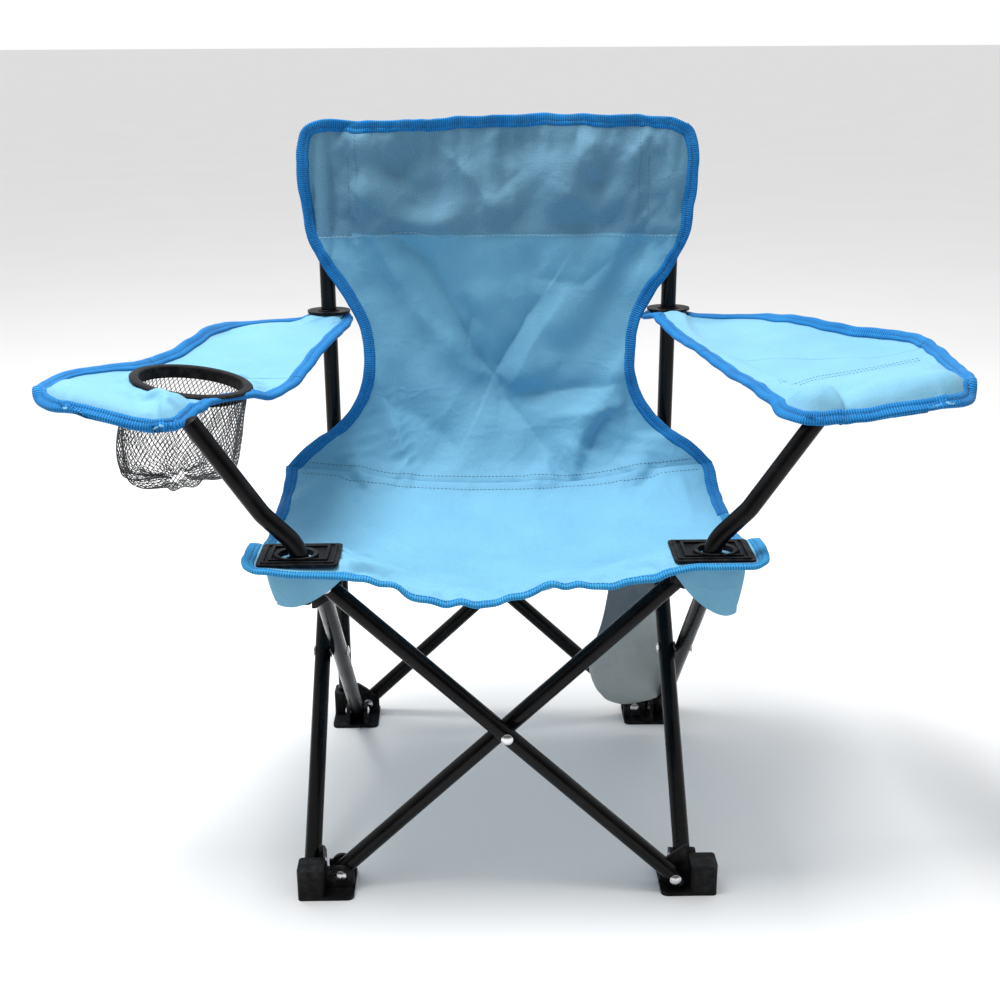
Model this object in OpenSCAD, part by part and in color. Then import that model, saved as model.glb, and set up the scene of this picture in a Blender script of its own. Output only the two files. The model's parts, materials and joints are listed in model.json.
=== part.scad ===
// Folding camp chair: a steel scissor frame under a fabric sling with two fabric armrests.
// The origin is on the floor at the centre of the four feet. X runs to the viewer's right as seen from the
// front, Y runs to the back and Z runs up. Left and right are as seen from the front.

/* [Frame] */
// Outer diameter of every tube
tube_d = 13; // [12:0.5:13.5]
// Wall thickness of the tubes
tube_wall = 1; // [0.8:0.1:2]
// Half the distance between the two foot pivots of one side
half_span = 126.5; // [124:0.5:127]
// Distance from the centre to the outer tubes of each side
outer_plane = 149.5; // [149:0.5:150]
// Height of the foot pivots above the floor
foot_pivot_z = 13; // [12.5:0.5:15]
// Height of the hub and collar pivots above the floor
hub_pivot_z = 253; // [252:1:254]
// Distance from the centre to the rear posts, along X and along Y
rear_post_xy = 148; // [147.5:0.5:148.5]
// Height of the top of the rear posts
rear_post_top = 541; // [530:1:543]
// Distance from the centre to the arm post sockets, along X and along Y
arm_post_xy = 144; // [144:0.5:144.5]

/* [Castings] */
// Height of the corner block of a foot, hub or collar
block_h = 25; // [22:1:28]
// Height of the wall behind an outer tube
backing_h = 34; // [26:1:36]
// Thickness of the base plate of a foot, hub or collar
plate_t = 3; // [2:0.5:3.5]
// Thickness of the upright walls
wall_t = 3; // [2.5:0.5:3]

/* [Rivets] */
// Radius of a rivet shank
rivet_r = 2.5; // [2:0.25:3]
// Radius of a domed rivet head
rivet_head_r = 4.35; // [3.5:0.05:5]
// Height of a domed rivet head
rivet_head_h = 1.5; // [1:0.1:1.5]

/* [Fabric] */
// Thickness of the fabric panels
fabric_t = 1.6; // [1.2:0.2:2]
// Height of the armrests at the rear posts
arm_z = 387; // [385:1:390]

/* [Cup holder] */
// Distance of the cup ring from the centre, towards the left
cup_x = 228; // [222:1:232]
// Distance of the cup ring in front of the centre
cup_y = 62; // [58:1:66]
// Height of the middle of the cup ring
cup_z = 376.5; // [374:0.5:380]
// Slope of the cup ring, its outer side up
cup_tilt = 8.6; // [6:0.1:10]
// Inner radius of the cup ring
cup_r = 37.5; // [36:0.5:38]
// Depth of the mesh pouch under the ring
cup_depth = 74; // [60:1:80]

/* [Hidden] */
$fn = 48;

tube_r = tube_d / 2;
tube_gap = 1;
inner_plane = outer_plane - tube_d - tube_gap;
brace_rise = hub_pivot_z - foot_pivot_z;
brace_angle = atan(brace_rise / (2 * half_span));
brace_len = norm([2 * half_span, brace_rise]);
scissor_z = (foot_pivot_z + hub_pivot_z) / 2;
tube_end = tube_r;
run_gap = 0.05;
side_gap = 0.3;

casting_out = outer_plane + 8.5;
casting_in = half_span - 10.5;
casting_w = casting_out - casting_in;
block_in = half_span + 11.5;
hub_block_in = half_span + 10.1;
casting_top = hub_pivot_z + foot_pivot_z;
socket_depth = 28;

arm_bend_r = 30;
arm_bend_z = 266.3;
arm_lean_low = 45;
arm_lean_high = 34;
arm_low_len = 20;
arm_high_len = 77;

front_y = -168;
seam_y = 100;
seam_z = 262;
seat_fold_y = 25;
seat_half_w = 184;
arm_fold_y = -12;
arm_front_y = -157;
arm_rear_y = 162;

// Turns a shape made at the front left corner or on the front side to corner or side number k, counted
// anticlockwise from above: 0 is front left or front, 1 front right or right, 2 rear right or rear, 3 rear left.
module turned(k) {
    rotate([0, 0, 90 * k]) children();
}

// Moulded castings ------------------------------------------------------------------------------------------

module rounded_plate(w, d, t, r) {
    linear_extrude(t) hull() {
        for (x = [r, w - r], y = [r, d - r]) translate([x, y]) circle(r, $fn = 32);
    }
}

// The shared casting at the front left, base down: a clevis round the inner tube that leaves along X and one
// wall behind the outer tube that leaves along Y.
module casting(block_edge) {
    near = inner_plane - tube_r - side_gap;
    far = inner_plane + tube_r + side_gap;
    back = outer_plane - tube_r - side_gap;
    clevis_x = block_in;
    clevis_near_x = half_span + 10;
    clevis_h = foot_pivot_z + 5;
    difference() {
        union() {
            translate([-casting_out, -casting_out, 0]) rounded_plate(casting_w, casting_w, plate_t, 5);
            translate([-casting_out, -casting_out, 0])
                rounded_plate(casting_out - block_edge, casting_out - block_edge, block_h, 3);
            clevis_wall(-far - wall_t, clevis_x, clevis_h);
            clevis_wall(-near, clevis_near_x, clevis_h);
            backing_wall(-back, clevis_h + 9);
        }
        translate([-half_span, 0, foot_pivot_z]) rotate([90, 0, 0]) cylinder(r = rivet_r + run_gap, h = 200);
        translate([-back - 1, -half_span, foot_pivot_z]) rotate([0, 90, 0])
            cylinder(r = rivet_r + run_gap, h = wall_t + 2);
    }
}

// One ear of the clevis: a wall along X with a round top over the pivot
module clevis_wall(y, x_far, h) {
    ear_r = 8;
    translate([-x_far, y, 0]) cube([x_far - casting_in, wall_t, h - 2]);
    translate([-half_span, y + wall_t, h - 5]) rotate([90, 0, 0]) cylinder(r = ear_r, h = wall_t);
}

// The wall behind an outer tube: it runs along Y and has a sloping top
module backing_wall(x, h) {
    translate([x, 0, 0]) rotate([90, 0, 90]) linear_extrude(wall_t)
        polygon([[-block_in, 0], [-casting_in, 0], [-casting_in, h - 9], [-half_span, backing_h - 6],
            [-block_in + 3, backing_h], [-block_in, backing_h]]);
}

module front_foot() {
    color("#1c1d20") casting(block_in);
}

module rear_foot() {
    color("#1c1d20") difference() {
        casting(block_in);
        translate([-rear_post_xy, -rear_post_xy, 4]) cylinder(r = tube_r + run_gap, h = block_h);
    }
}

// A hub or collar is the same casting upside down and mirrored across the corner's diagonal
module upper_casting(block_edge) {
    mirror([1, -1, 0]) translate([0, 0, casting_top]) mirror([0, 0, 1]) casting(block_edge);
}

module hub() {
    color("#1c1d20") difference() {
        upper_casting(hub_block_in);
        translate([-arm_post_xy, -arm_post_xy, casting_top - socket_depth])
            cylinder(r = tube_r + run_gap, h = socket_depth + 1);
    }
}

module collar() {
    slide_gap = 0.35;
    color("#1c1d20") difference() {
        upper_casting(block_in);
        translate([-rear_post_xy, -rear_post_xy, casting_top - 2 * block_h])
            cylinder(r = tube_r + slide_gap, h = 3 * block_h);
    }
}

// Rivets and spacers ----------------------------------------------------------------------------------------

// A low spherical dome standing on the XY plane
module dome(r, h) {
    ball_r = (r * r + h * h) / (2 * h);
    intersection() {
        translate([0, 0, h - ball_r]) sphere(ball_r, $fn = 64);
        cylinder(r = r, h = h + 1);
    }
}

// A rivet along +Z whose two heads sit just outside z = 0 and z = grip
module rivet(grip) {
    cylinder(r = rivet_r, h = grip);
    translate([0, 0, grip]) dome(rivet_head_r, rivet_head_h);
    mirror([0, 0, 1]) dome(rivet_head_r, rivet_head_h);
}

// The two rivets of a foot at the front left
module foot_rivets() {
    clevis_out = inner_plane + tube_r + side_gap + wall_t;
    clevis_in = inner_plane - tube_r - side_gap - wall_t;
    outer_face = outer_plane + tube_r;
    backing_face = outer_plane - tube_r - side_gap - wall_t;
    color("#b9bcc2") translate([-half_span, -clevis_in + run_gap, foot_pivot_z]) rotate([90, 0, 0])
        rivet(clevis_out - clevis_in + 2 * run_gap);
    color("#b9bcc2") translate([-outer_face - side_gap, -half_span, foot_pivot_z]) rotate([0, 90, 0])
        rivet(outer_face + side_gap - backing_face + run_gap);
}

module hub_rivets() {
    mirror([1, -1, 0]) translate([0, 0, casting_top]) mirror([0, 0, 1]) foot_rivets();
}

// The rivet through the crossing tubes of the front side
module scissor_rivet() {
    grip = outer_plane - inner_plane + tube_d + 2 * side_gap;
    color("#b9bcc2") translate([0, -inner_plane + tube_r + side_gap, scissor_z]) rotate([90, 0, 0]) rivet(grip);
}

// The washer that keeps the crossing tubes of the front side apart
module spacer() {
    washer_t = 0.6;
    washer_r = 5;
    color("#2a2b2e") translate([0, (washer_t - inner_plane - outer_plane) / 2, scissor_z])
        rotate([90, 0, 0]) difference() {
            cylinder(r = washer_r, h = washer_t);
            translate([0, 0, -1]) cylinder(r = rivet_r + run_gap, h = washer_t + 2);
        }
}

// Tubes -----------------------------------------------------------------------------------------------------

// A brace along +X from one pivot to the other, with rivet holes along Y at both ends and in the middle.
// hole_gap is the clearance of the two end holes round their rivets.
module brace(hole_gap) {
    difference() {
        translate([-tube_end, 0, 0]) rotate([0, 90, 0]) cylinder(r = tube_r, h = brace_len + 2 * tube_end);
        translate([-tube_end - 1, 0, 0]) rotate([0, 90, 0])
            cylinder(r = tube_r - tube_wall, h = brace_len + 2 * tube_end + 2);
        for (x = [0, brace_len]) translate([x, tube_d, 0]) rotate([90, 0, 0])
            cylinder(r = rivet_r + hole_gap, h = 2 * tube_d);
        translate([brace_len / 2, tube_d, 0]) rotate([90, 0, 0]) cylinder(r = rivet_r + run_gap, h = 2 * tube_d);
    }
}

// The inner brace of the front side rises to the right, the outer one rises to the left
module inner_brace(hole_gap) {
    color("#141518") translate([-half_span, -inner_plane, foot_pivot_z]) rotate([0, -brace_angle, 0])
        brace(hole_gap);
}

module outer_brace(hole_gap) {
    color("#141518") translate([half_span, -outer_plane, foot_pivot_z]) rotate([0, brace_angle - 180, 0])
        brace(hole_gap);
}

// The rear post stands in its foot's socket
module rear_post() {
    foot_socket_z = 4.1;
    color("#141518") translate([rear_post_xy, rear_post_xy, foot_socket_z]) difference() {
        cylinder(r = tube_r, h = rear_post_top - foot_socket_z);
        translate([0, 0, -1]) cylinder(r = tube_r - tube_wall, h = rear_post_top);
    }
}

module rear_post_cap() {
    plug_h = 9;
    color("#1c1d20") translate([rear_post_xy, rear_post_xy, rear_post_top + run_gap]) {
        dome(tube_r, 2.5);
        translate([0, 0, -plug_h]) cylinder(r = tube_r - tube_wall - run_gap, h = plug_h + 0.5);
    }
}

// The left arm post: up out of the hub, out to the side through a bend, then less steeply to its tip.
// r is the radius of the round section, and trim lengthens the two ends of the path.
module arm_path(r, trim) {
    turn_back = arm_lean_low - arm_lean_high;
    translate([-arm_post_xy, -arm_post_xy, 0]) {
        translate([0, 0, casting_top - socket_depth + run_gap - trim])
            cylinder(r = r, h = arm_bend_z - casting_top + socket_depth - run_gap + trim);
        translate([-arm_bend_r, 0, arm_bend_z]) rotate([90, 0, 0])
            rotate_extrude(angle = arm_lean_low) translate([arm_bend_r, 0]) circle(r);
        translate([-arm_bend_r, 0, arm_bend_z]) rotate([0, -arm_lean_low, 0]) translate([arm_bend_r, 0, 0]) {
            cylinder(r = r, h = arm_low_len);
            translate([arm_bend_r, 0, arm_low_len]) rotate([90, 0, 180])
                rotate_extrude(angle = turn_back) translate([arm_bend_r, 0]) circle(r);
            translate([arm_bend_r, 0, arm_low_len]) rotate([0, turn_back, 0]) translate([-arm_bend_r, 0, 0])
                cylinder(r = r, h = arm_high_len + trim);
        }
    }
}

module arm_post() {
    color("#141518") difference() {
        arm_path(tube_r, 0);
        arm_path(tube_r - tube_wall, 1);
    }
}

// Places a shape on the tip of the left arm post, with +Z along the tube
module at_arm_tip() {
    turn_back = arm_lean_low - arm_lean_high;
    translate([-arm_post_xy - arm_bend_r, -arm_post_xy, arm_bend_z]) rotate([0, -arm_lean_low, 0])
        translate([2 * arm_bend_r, 0, arm_low_len]) rotate([0, turn_back, 0])
            translate([-arm_bend_r, 0, arm_high_len]) children();
}

module arm_post_cap() {
    plug_h = 8;
    color("#1c1d20") at_arm_tip() {
        translate([0, 0, run_gap]) dome(tube_r, 3);
        translate([0, 0, -plug_h]) cylinder(r = tube_r - tube_wall - run_gap, h = plug_h + 1);
    }
}

// Plastic fittings ------------------------------------------------------------------------------------------

// A stadium of length w and width d
module stadium(w, d, h) {
    for (x = [-1, 1]) translate([x * (w - d) / 2, 0, 0]) cylinder(r = d / 2, h = h);
    translate([(d - w) / 2, -d / 2, 0]) cube([w - d, d, h]);
}

// One rectangular ridge of a seat plate, w by d outside
module ridge(w, d, h, ridge_w) {
    difference() {
        translate([-w / 2, -d / 2, 0]) cube([w, d, h]);
        translate([ridge_w - w / 2, ridge_w - d / 2, -1]) cube([w - 2 * ridge_w, d - 2 * ridge_w, h + 2]);
    }
}

// The plate on the seat's left front corner, with stepped ridges round the arm post's oval hole
module seat_plate() {
    plate_w = 57;
    plate_d = 43;
    plate_y = -138;
    base_t = 1.6;
    bottom_z = 270;
    hole_w = 25;
    hole_d = 19;
    color("#1b1c1f") difference() {
        union() {
            translate([-arm_post_xy - 1 - plate_w / 2, plate_y - plate_d / 2, bottom_z])
                rounded_plate(plate_w, plate_d, base_t, 4);
            translate([-arm_post_xy - 1, plate_y, bottom_z + base_t - 0.2]) {
                ridge(plate_w - 6, plate_d - 6, 1.2, 2);
                ridge(plate_w - 16, plate_d - 14, 1.8, 2);
            }
            translate([-arm_post_xy - 3, -arm_post_xy + 2, bottom_z]) stadium(hole_w + 6, hole_d + 5, 4);
        }
        translate([-arm_post_xy - 3, -arm_post_xy + 1, bottom_z - 1]) stadium(hole_w, hole_d, 8);
    }
}

// The oval eyelet that holds the armrest round the rear post
module arm_eyelet() {
    flange_w = 37;
    flange_d = 30;
    flange_t = 1.6;
    neck_r = 9.2;
    eyelet_hole_r = 7.2;
    low = arm_z - 3.4;
    high = arm_z + 1.6;
    color("#1b1c1f") translate([rear_post_xy, rear_post_xy, 0]) difference() {
        union() {
            translate([0, 0, low]) stadium(flange_w, flange_d, flange_t);
            translate([0, 0, high]) stadium(flange_w, flange_d, flange_t);
            translate([0, 0, low]) cylinder(r = neck_r, h = high - low + flange_t + 0.8);
        }
        translate([0, 0, low - 1]) cylinder(r = eyelet_hole_r, h = 10);
    }
}

// The ring clipped to the rear post that holds the eyelet up
module arm_clip() {
    clip_r = 10;
    clip_h = 6;
    color("#1b1c1f") translate([rear_post_xy, rear_post_xy, arm_z - 4 - clip_h]) difference() {
        cylinder(r = clip_r, h = clip_h);
        translate([0, 0, -1]) cylinder(r = tube_r + run_gap, h = clip_h + 2);
    }
}

// Cup holder ------------------------------------------------------------------------------------------------

// Places a shape in the left armrest's plane at the cup ring
module at_cup() {
    translate([-cup_x, -cup_y, cup_z]) rotate([0, cup_tilt, 0]) children();
}

module cup_ring() {
    ring_w = 7;
    color("#1b1c1f") at_cup() rotate_extrude($fn = 96)
        polygon([[cup_r, -6], [cup_r + 2, -6], [cup_r + 2, 1.3], [cup_r + ring_w, 1.3], [cup_r + ring_w, 2],
            [cup_r + ring_w - 1.2, 3], [cup_r + 2.4, 3.3], [cup_r + 0.6, 3], [cup_r, 2.2]]);
}

// The mesh pouch is a thin shell that widens under the ring and is gathered at the bottom
module cup_pouch() {
    wall = 1.2;
    profile = [[cup_r + 3.4, -1.2], [cup_r + 7, -14], [cup_r + 10, -34], [cup_r + 9, -54], [cup_r - 2, -68],
        [cup_r - 20, -cup_depth], [0, -cup_depth]];
    inner = [for (i = [len(profile) - 1:-1:0])
        [max(profile[i][0] - wall, 0), max(profile[i][1], wall - cup_depth)]];
    color("#17181a") at_cup() rotate_extrude($fn = 72) polygon(concat(profile, inner));
}

// Fabric panels ---------------------------------------------------------------------------------------------

// The unit normal of a grid of points at row i and column j
function grid_normal(g, i, j) =
    let (last_i = len(g) - 1)
    let (last_j = len(g[0]) - 1)
    let (along = g[min(i + 1, last_i)][j] - g[max(i - 1, 0)][j])
    let (across = g[i][min(j + 1, last_j)] - g[i][max(j - 1, 0)])
    let (n = cross(along, across))
    n / norm(n);

// A closed panel of thickness t whose middle surface is the grid g
module panel(g, t) {
    m = len(g);
    n = len(g[0]);
    side = [for (s = [1, -1]) for (i = [0:m - 1]) for (j = [0:n - 1]) g[i][j] + s * t / 2 * grid_normal(g, i, j)];
    rim = concat([for (j = [0:n - 1]) j], [for (i = [1:m - 1]) i * n + n - 1],
        [for (j = [n - 2:-1:0]) (m - 1) * n + j], [for (i = [m - 2:-1:1]) i * n]);
    under = m * n;
    tops = [for (i = [0:m - 2]) for (j = [0:n - 2]) each
        [[i * n + j, i * n + j + 1, (i + 1) * n + j + 1], [i * n + j, (i + 1) * n + j + 1, (i + 1) * n + j]]];
    bottoms = [for (f = tops) [f[0] + under, f[2] + under, f[1] + under]];
    walls = [for (k = [0:len(rim) - 1]) let (p = rim[k], q = rim[(k + 1) % len(rim)]) each
        [[p, p + under, q + under], [p, q + under, q]]];
    polyhedron(points = side, faces = concat(tops, bottoms, walls));
}

// Half width and depth of the back panel at height z
function back_half(z) =
    lookup(z, [[262, 184], [285, 162], [309, 132], [330, 120], [355, 116], [375, 119], [392, 126], [430, 151],
        [470, 164], [540, 165], [550, 158]]);
function back_y(z) =
    lookup(z, [[262, 100], [285, 112], [309, 121], [330, 127], [360, 132], [392, 136], [430, 139.3], [560, 139.3]]);

module back_panel() {
    rows = [262, 273, 285, 297, 309, 320, 332, 344, 356, 374, 392, 411, 430, 450, 470, 505, 540, 550];
    columns = 12;
    sleeve_z = 446;
    sleeve_top = 546;
    sleeve_r = 9;
    g = [for (z = rows) [for (j = [0:columns]) [(2 * j / columns - 1) * back_half(z), back_y(z), z]]];
    color("#7fb2d8") panel(g, fabric_t);
    for (s = [-1, 1]) color("#7fb2d8") translate([s * rear_post_xy, rear_post_xy, sleeve_z]) difference() {
        cylinder(r = sleeve_r, h = sleeve_top - sleeve_z);
        translate([0, 0, -1]) cylinder(r = tube_r + 0.7, h = sleeve_top);
    }
}

// Height of the seat's side edge, how far its middle hangs below that, and the half width of the hollow
function seat_side_z(y) =
    lookup(y, [[front_y, 262], [-160, 268.6], [-112, 268.6], [-60, 256], [20, 242], [60, 248], [seam_y, seam_z]]);
function seat_drop(y) = lookup(y, [[front_y, 20], [-120, 29], [-60, 24], [seat_fold_y, 12], [seam_y, 11]]);
function seat_hollow(y) = lookup(y, [[-112, 112], [-50, seat_half_w]]);
function seat_z(x, y) =
    let (share = min(abs(x) / seat_hollow(y), 1))
    seat_side_z(y) - seat_drop(y) * (1 - share * share) * (1 - share * share * 0.3);

module seat_panel(rows) {
    columns = 16;
    g = [for (y = rows) [for (j = [0:columns])
        let (x = (2 * j / columns - 1) * seat_half_w) [x, y, seat_z(x, y)]]];
    panel(g, fabric_t);
}

module seat_front() {
    hole_r = 10;
    rows = [front_y, -160, -146, -130, -112, -86, -60, -32, -4, seat_fold_y - 0.2];
    color("#7cc8f2") difference() {
        seat_panel(rows);
        for (s = [-1, 1]) translate([s * (arm_post_xy + 2), -arm_post_xy, 250]) cylinder(r = hole_r, h = 30);
    }
}

module seat_rear() {
    rows = [seat_fold_y + 0.2, 40, 60, 80, seam_y - 1.2];
    color("#7cc8f2") seat_panel(rows);
}

// Inner edge, outer edge and height of an armrest at y, with across running from 0 inside to 1 outside. The front
// rises over the tip of its post, and the left armrest slopes with the cup ring round it.
function arm_inner(y) =
    lookup(y, [[arm_front_y, 240], [-151, 215], [-140, 200], [-128, 193], [-105, 182], [-75, 169], [-10, 154],
        [60, 140], [122, 129], [150, 127], [arm_rear_y, 134]]);
function arm_outer(y) =
    lookup(y, [[arm_front_y, 284], [-151, 308], [-140, 318], [-128, 321], [-70, 315], [-30, 300], [20, 276],
        [72, 252], [108, 226], [142, 171], [152, 167], [arm_rear_y, 160]]);
function arm_height(y, across, left) =
    let (
        x = arm_inner(y) + (arm_outer(y) - arm_inner(y)) * across,
        inner_z = lookup(y, [[arm_front_y, 373], [-128, 374], [122, arm_z - 0.6], [arm_rear_y, arm_z]]),
        plain_z = inner_z + (arm_z + 1 - inner_z) * across * lookup(y, [[60, 1], [140, 0]]),
        ring_z = cup_z + tan(cup_tilt) * (x - cup_x),
        share = left ? lookup(y, [[-150, 0], [-118, 1], [arm_fold_y, 1], [40, 0]]) : 0,
        over_post = 8 * exp(-(pow(x - 214, 2) + pow(y + arm_post_xy, 2)) / 400)
    )
    plain_z + (ring_z - plain_z) * share + over_post;

module arm_panel(rows, left) {
    columns = 8;
    g = [for (y = rows) [for (j = [0:columns])
        [-arm_inner(y) - (arm_outer(y) - arm_inner(y)) * j / columns, y, arm_height(y, j / columns, left)]]];
    panel([for (row = g) [for (j = [columns:-1:0]) row[j]]], fabric_t);
}

module armrest_front(left) {
    arm_panel([arm_front_y, -151, -140, -128, -112, -75, -50, -30, arm_fold_y - 0.2], left);
}

module armrest_rear(left) {
    eyelet_neck_r = 9.8;
    difference() {
        arm_panel([arm_fold_y + 0.2, 20, 40, 56, 72, 90, 108, 124, 142, 152, arm_rear_y], left);
        translate([-rear_post_xy, rear_post_xy, arm_z - 20]) cylinder(r = eyelet_neck_r, h = 40);
    }
}

module armrest_left_front() {
    ring_hole_r = cup_r + 3.2;
    color("#9adcfa") difference() {
        armrest_front(true);
        at_cup() translate([0, 0, -20]) cylinder(r = ring_hole_r, h = 40);
    }
}

// A pouch flap under a front corner of the seat: one wall in front of the hub and one outside it
module corner_pouch(inner_x, bottom_z) {
    wall = 1.2;
    top_z = 264.4;
    front = -casting_out - 4.2;
    outside = -casting_out - 8;
    color("#5f9fd0") {
        translate([outside, front, bottom_z]) cube([-inner_x - outside, wall, top_z - bottom_z]);
        translate([outside, front, bottom_z + 2]) cube([wall, 46, top_z - bottom_z - 2]);
    }
}

// The flat storage pouch that hangs from the rear right of the seat
module storage_pouch() {
    pouch_front_y = 94;
    pouch_t = 8;
    color("#d9dde2") translate([0, pouch_front_y + pouch_t, 0]) rotate([90, 0, 0]) linear_extrude(pouch_t)
        polygon([[84, 48], [104, 40], [128, 42], [139, 54], [140, 110], [134, 168], [118, 214], [112, 243],
            [96, 243], [88, 212], [80, 166], [80, 100]]);
}

mirror([1, 0, 0]) rear_post();  // rear_post_left
rear_post();  // rear_post_right
mirror([1, 0, 0]) rear_post_cap();  // rear_post_cap_left
rear_post_cap();  // rear_post_cap_right
turned(0) front_foot();  // front_left_foot
turned(1) front_foot();  // front_right_foot
turned(2) rear_foot();  // rear_right_foot
turned(3) rear_foot();  // rear_left_foot
turned(0) foot_rivets();  // front_left_foot_rivets
turned(1) foot_rivets();  // front_right_foot_rivets
turned(2) foot_rivets();  // rear_right_foot_rivets
turned(3) foot_rivets();  // rear_left_foot_rivets
turned(0) hub();  // front_left_hub
turned(1) hub();  // front_right_hub
turned(2) collar();  // rear_right_collar
turned(3) collar();  // rear_left_collar
turned(0) hub_rivets();  // front_left_hub_rivets
turned(1) hub_rivets();  // front_right_hub_rivets
turned(2) hub_rivets();  // rear_right_collar_rivets
turned(3) hub_rivets();  // rear_left_collar_rivets
turned(0) inner_brace(run_gap);  // front_brace_inner
turned(0) outer_brace(run_gap);  // front_brace_outer
turned(1) inner_brace(run_gap);  // right_brace_inner
turned(1) outer_brace(run_gap);  // right_brace_outer
turned(2) inner_brace(run_gap);  // rear_brace_inner
turned(2) outer_brace(run_gap);  // rear_brace_outer
turned(3) inner_brace(run_gap);  // left_brace_inner
turned(3) outer_brace(run_gap);  // left_brace_outer
turned(0) scissor_rivet();  // front_scissor_rivet
turned(1) scissor_rivet();  // right_scissor_rivet
turned(2) scissor_rivet();  // rear_scissor_rivet
turned(3) scissor_rivet();  // left_scissor_rivet
turned(0) spacer();  // front_spacer
turned(1) spacer();  // right_spacer
turned(2) spacer();  // rear_spacer
turned(3) spacer();  // left_spacer
arm_post();  // arm_post_left
mirror([1, 0, 0]) arm_post();  // arm_post_right
arm_post_cap();  // arm_post_cap_left
mirror([1, 0, 0]) arm_post_cap();  // arm_post_cap_right
seat_plate();  // seat_plate_left
mirror([1, 0, 0]) seat_plate();  // seat_plate_right
mirror([1, 0, 0]) arm_eyelet();  // arm_eyelet_left
arm_eyelet();  // arm_eyelet_right
mirror([1, 0, 0]) arm_clip();  // arm_clip_left
arm_clip();  // arm_clip_right
cup_ring();
cup_pouch();
back_panel();
seat_front();
seat_rear();
armrest_left_front();
color("#9adcfa") armrest_rear(true);  // armrest_left_rear
color("#9adcfa") mirror([1, 0, 0]) armrest_front(false);  // armrest_right_front
color("#9adcfa") mirror([1, 0, 0]) armrest_rear(false);  // armrest_right_rear
corner_pouch(112, 241);  // corner_pouch_left
mirror([1, 0, 0]) corner_pouch(117, 234);  // corner_pouch_right
storage_pouch();
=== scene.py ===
"""The looks of the folding camp chair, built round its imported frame.

Lengths in tables and shape functions are millimetres and become metres when a mesh is made. X runs to the
viewer's right, Y to the back and Z up. Left and right are as seen from the front."""
import json
import math

import bmesh
import bpy
import numpy as np
from mathutils import Matrix, Vector
from mathutils.bvhtree import BVHTree

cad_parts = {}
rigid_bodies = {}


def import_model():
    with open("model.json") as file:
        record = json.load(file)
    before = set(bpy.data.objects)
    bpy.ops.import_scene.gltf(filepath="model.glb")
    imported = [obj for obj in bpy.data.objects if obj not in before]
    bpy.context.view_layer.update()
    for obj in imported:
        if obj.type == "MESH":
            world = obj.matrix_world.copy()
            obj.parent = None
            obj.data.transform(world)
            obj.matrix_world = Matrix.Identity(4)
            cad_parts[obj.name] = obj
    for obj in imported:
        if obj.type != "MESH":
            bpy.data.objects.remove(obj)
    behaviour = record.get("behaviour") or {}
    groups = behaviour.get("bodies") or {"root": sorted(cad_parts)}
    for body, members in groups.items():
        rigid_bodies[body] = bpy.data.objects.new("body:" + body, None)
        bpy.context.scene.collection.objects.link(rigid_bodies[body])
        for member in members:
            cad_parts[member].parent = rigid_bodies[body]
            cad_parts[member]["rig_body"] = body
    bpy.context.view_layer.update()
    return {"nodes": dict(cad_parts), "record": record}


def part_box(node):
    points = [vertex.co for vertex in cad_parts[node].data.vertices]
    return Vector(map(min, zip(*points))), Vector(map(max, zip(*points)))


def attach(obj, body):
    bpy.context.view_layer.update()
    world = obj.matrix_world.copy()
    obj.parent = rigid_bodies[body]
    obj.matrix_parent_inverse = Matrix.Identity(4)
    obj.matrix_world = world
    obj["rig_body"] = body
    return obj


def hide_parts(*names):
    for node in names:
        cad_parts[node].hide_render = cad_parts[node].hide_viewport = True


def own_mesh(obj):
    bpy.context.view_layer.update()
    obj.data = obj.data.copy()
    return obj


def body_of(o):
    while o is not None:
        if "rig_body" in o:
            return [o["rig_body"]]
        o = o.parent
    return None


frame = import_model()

MM = 0.001


def node_centre(name):
    """Centre of a CAD node's box, in millimetres."""
    low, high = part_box(name)
    return np.array((low + high) / 2) / MM


# ---- Sizes from the frame, and the fabric's own sizes -----------------------------------------------------

POST_X, POST_Y = (float(v) for v in node_centre("rear_post_right")[:2])
CUP = node_centre("cup_ring")
RING_Z = 376.5
PLATE = node_centre("seat_plate_right")
PLATE_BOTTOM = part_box("seat_plate_right")[0].z / MM
SEAT_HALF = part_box("seat_front")[1].x / MM
SEAT_FRONT_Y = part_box("seat_front")[0].y / MM + 0.8
SEAT_FOLD_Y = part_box("seat_rear")[0].y / MM
SEAM_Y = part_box("seat_rear")[1].y / MM + 1.2
SEAM_Z = 262.0
BAND_Z = 454.0
BACK_TOP = 551.0
ARM_FOLD_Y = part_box("armrest_left_rear")[0].y / MM
FABRIC_T = 0.9
TAPE_W = 8.8
TAPE_T = 1.0
TAPE_VALLEY = 0.55
HELD = "held"


# ---- Curves and grids -------------------------------------------------------------------------------------

def curve(*knots):
    """A smooth function through (x, y) knots, flat outside them."""
    x, y = (np.array(v, float) for v in zip(*knots))
    slope = np.gradient(y, x)

    def at(t):
        t = np.clip(t, x[0], x[-1])
        i = np.clip(np.searchsorted(x, t, side="right") - 1, 0, len(x) - 2)
        h = x[i + 1] - x[i]
        s = (t - x[i]) / h
        return ((1 + 2 * s) * (1 - s) ** 2 * y[i] + s * (1 - s) ** 2 * h * slope[i]
                + s * s * (3 - 2 * s) * y[i + 1] + s * s * (s - 1) * h * slope[i + 1])

    return at


def step(a, b, t):
    """Rises smoothly from 0 at a to 1 at b."""
    s = np.clip((t - a) / (b - a), 0, 1)
    return s * s * (3 - 2 * s)


def unit(v):
    return v / np.maximum(np.linalg.norm(v, axis=-1, keepdims=True), 1e-9)


def grid_normals(p):
    """Normals of a grid of points whose rows run along its length and columns across it."""
    return unit(np.cross(np.gradient(p, axis=1), np.gradient(p, axis=0)))


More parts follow.
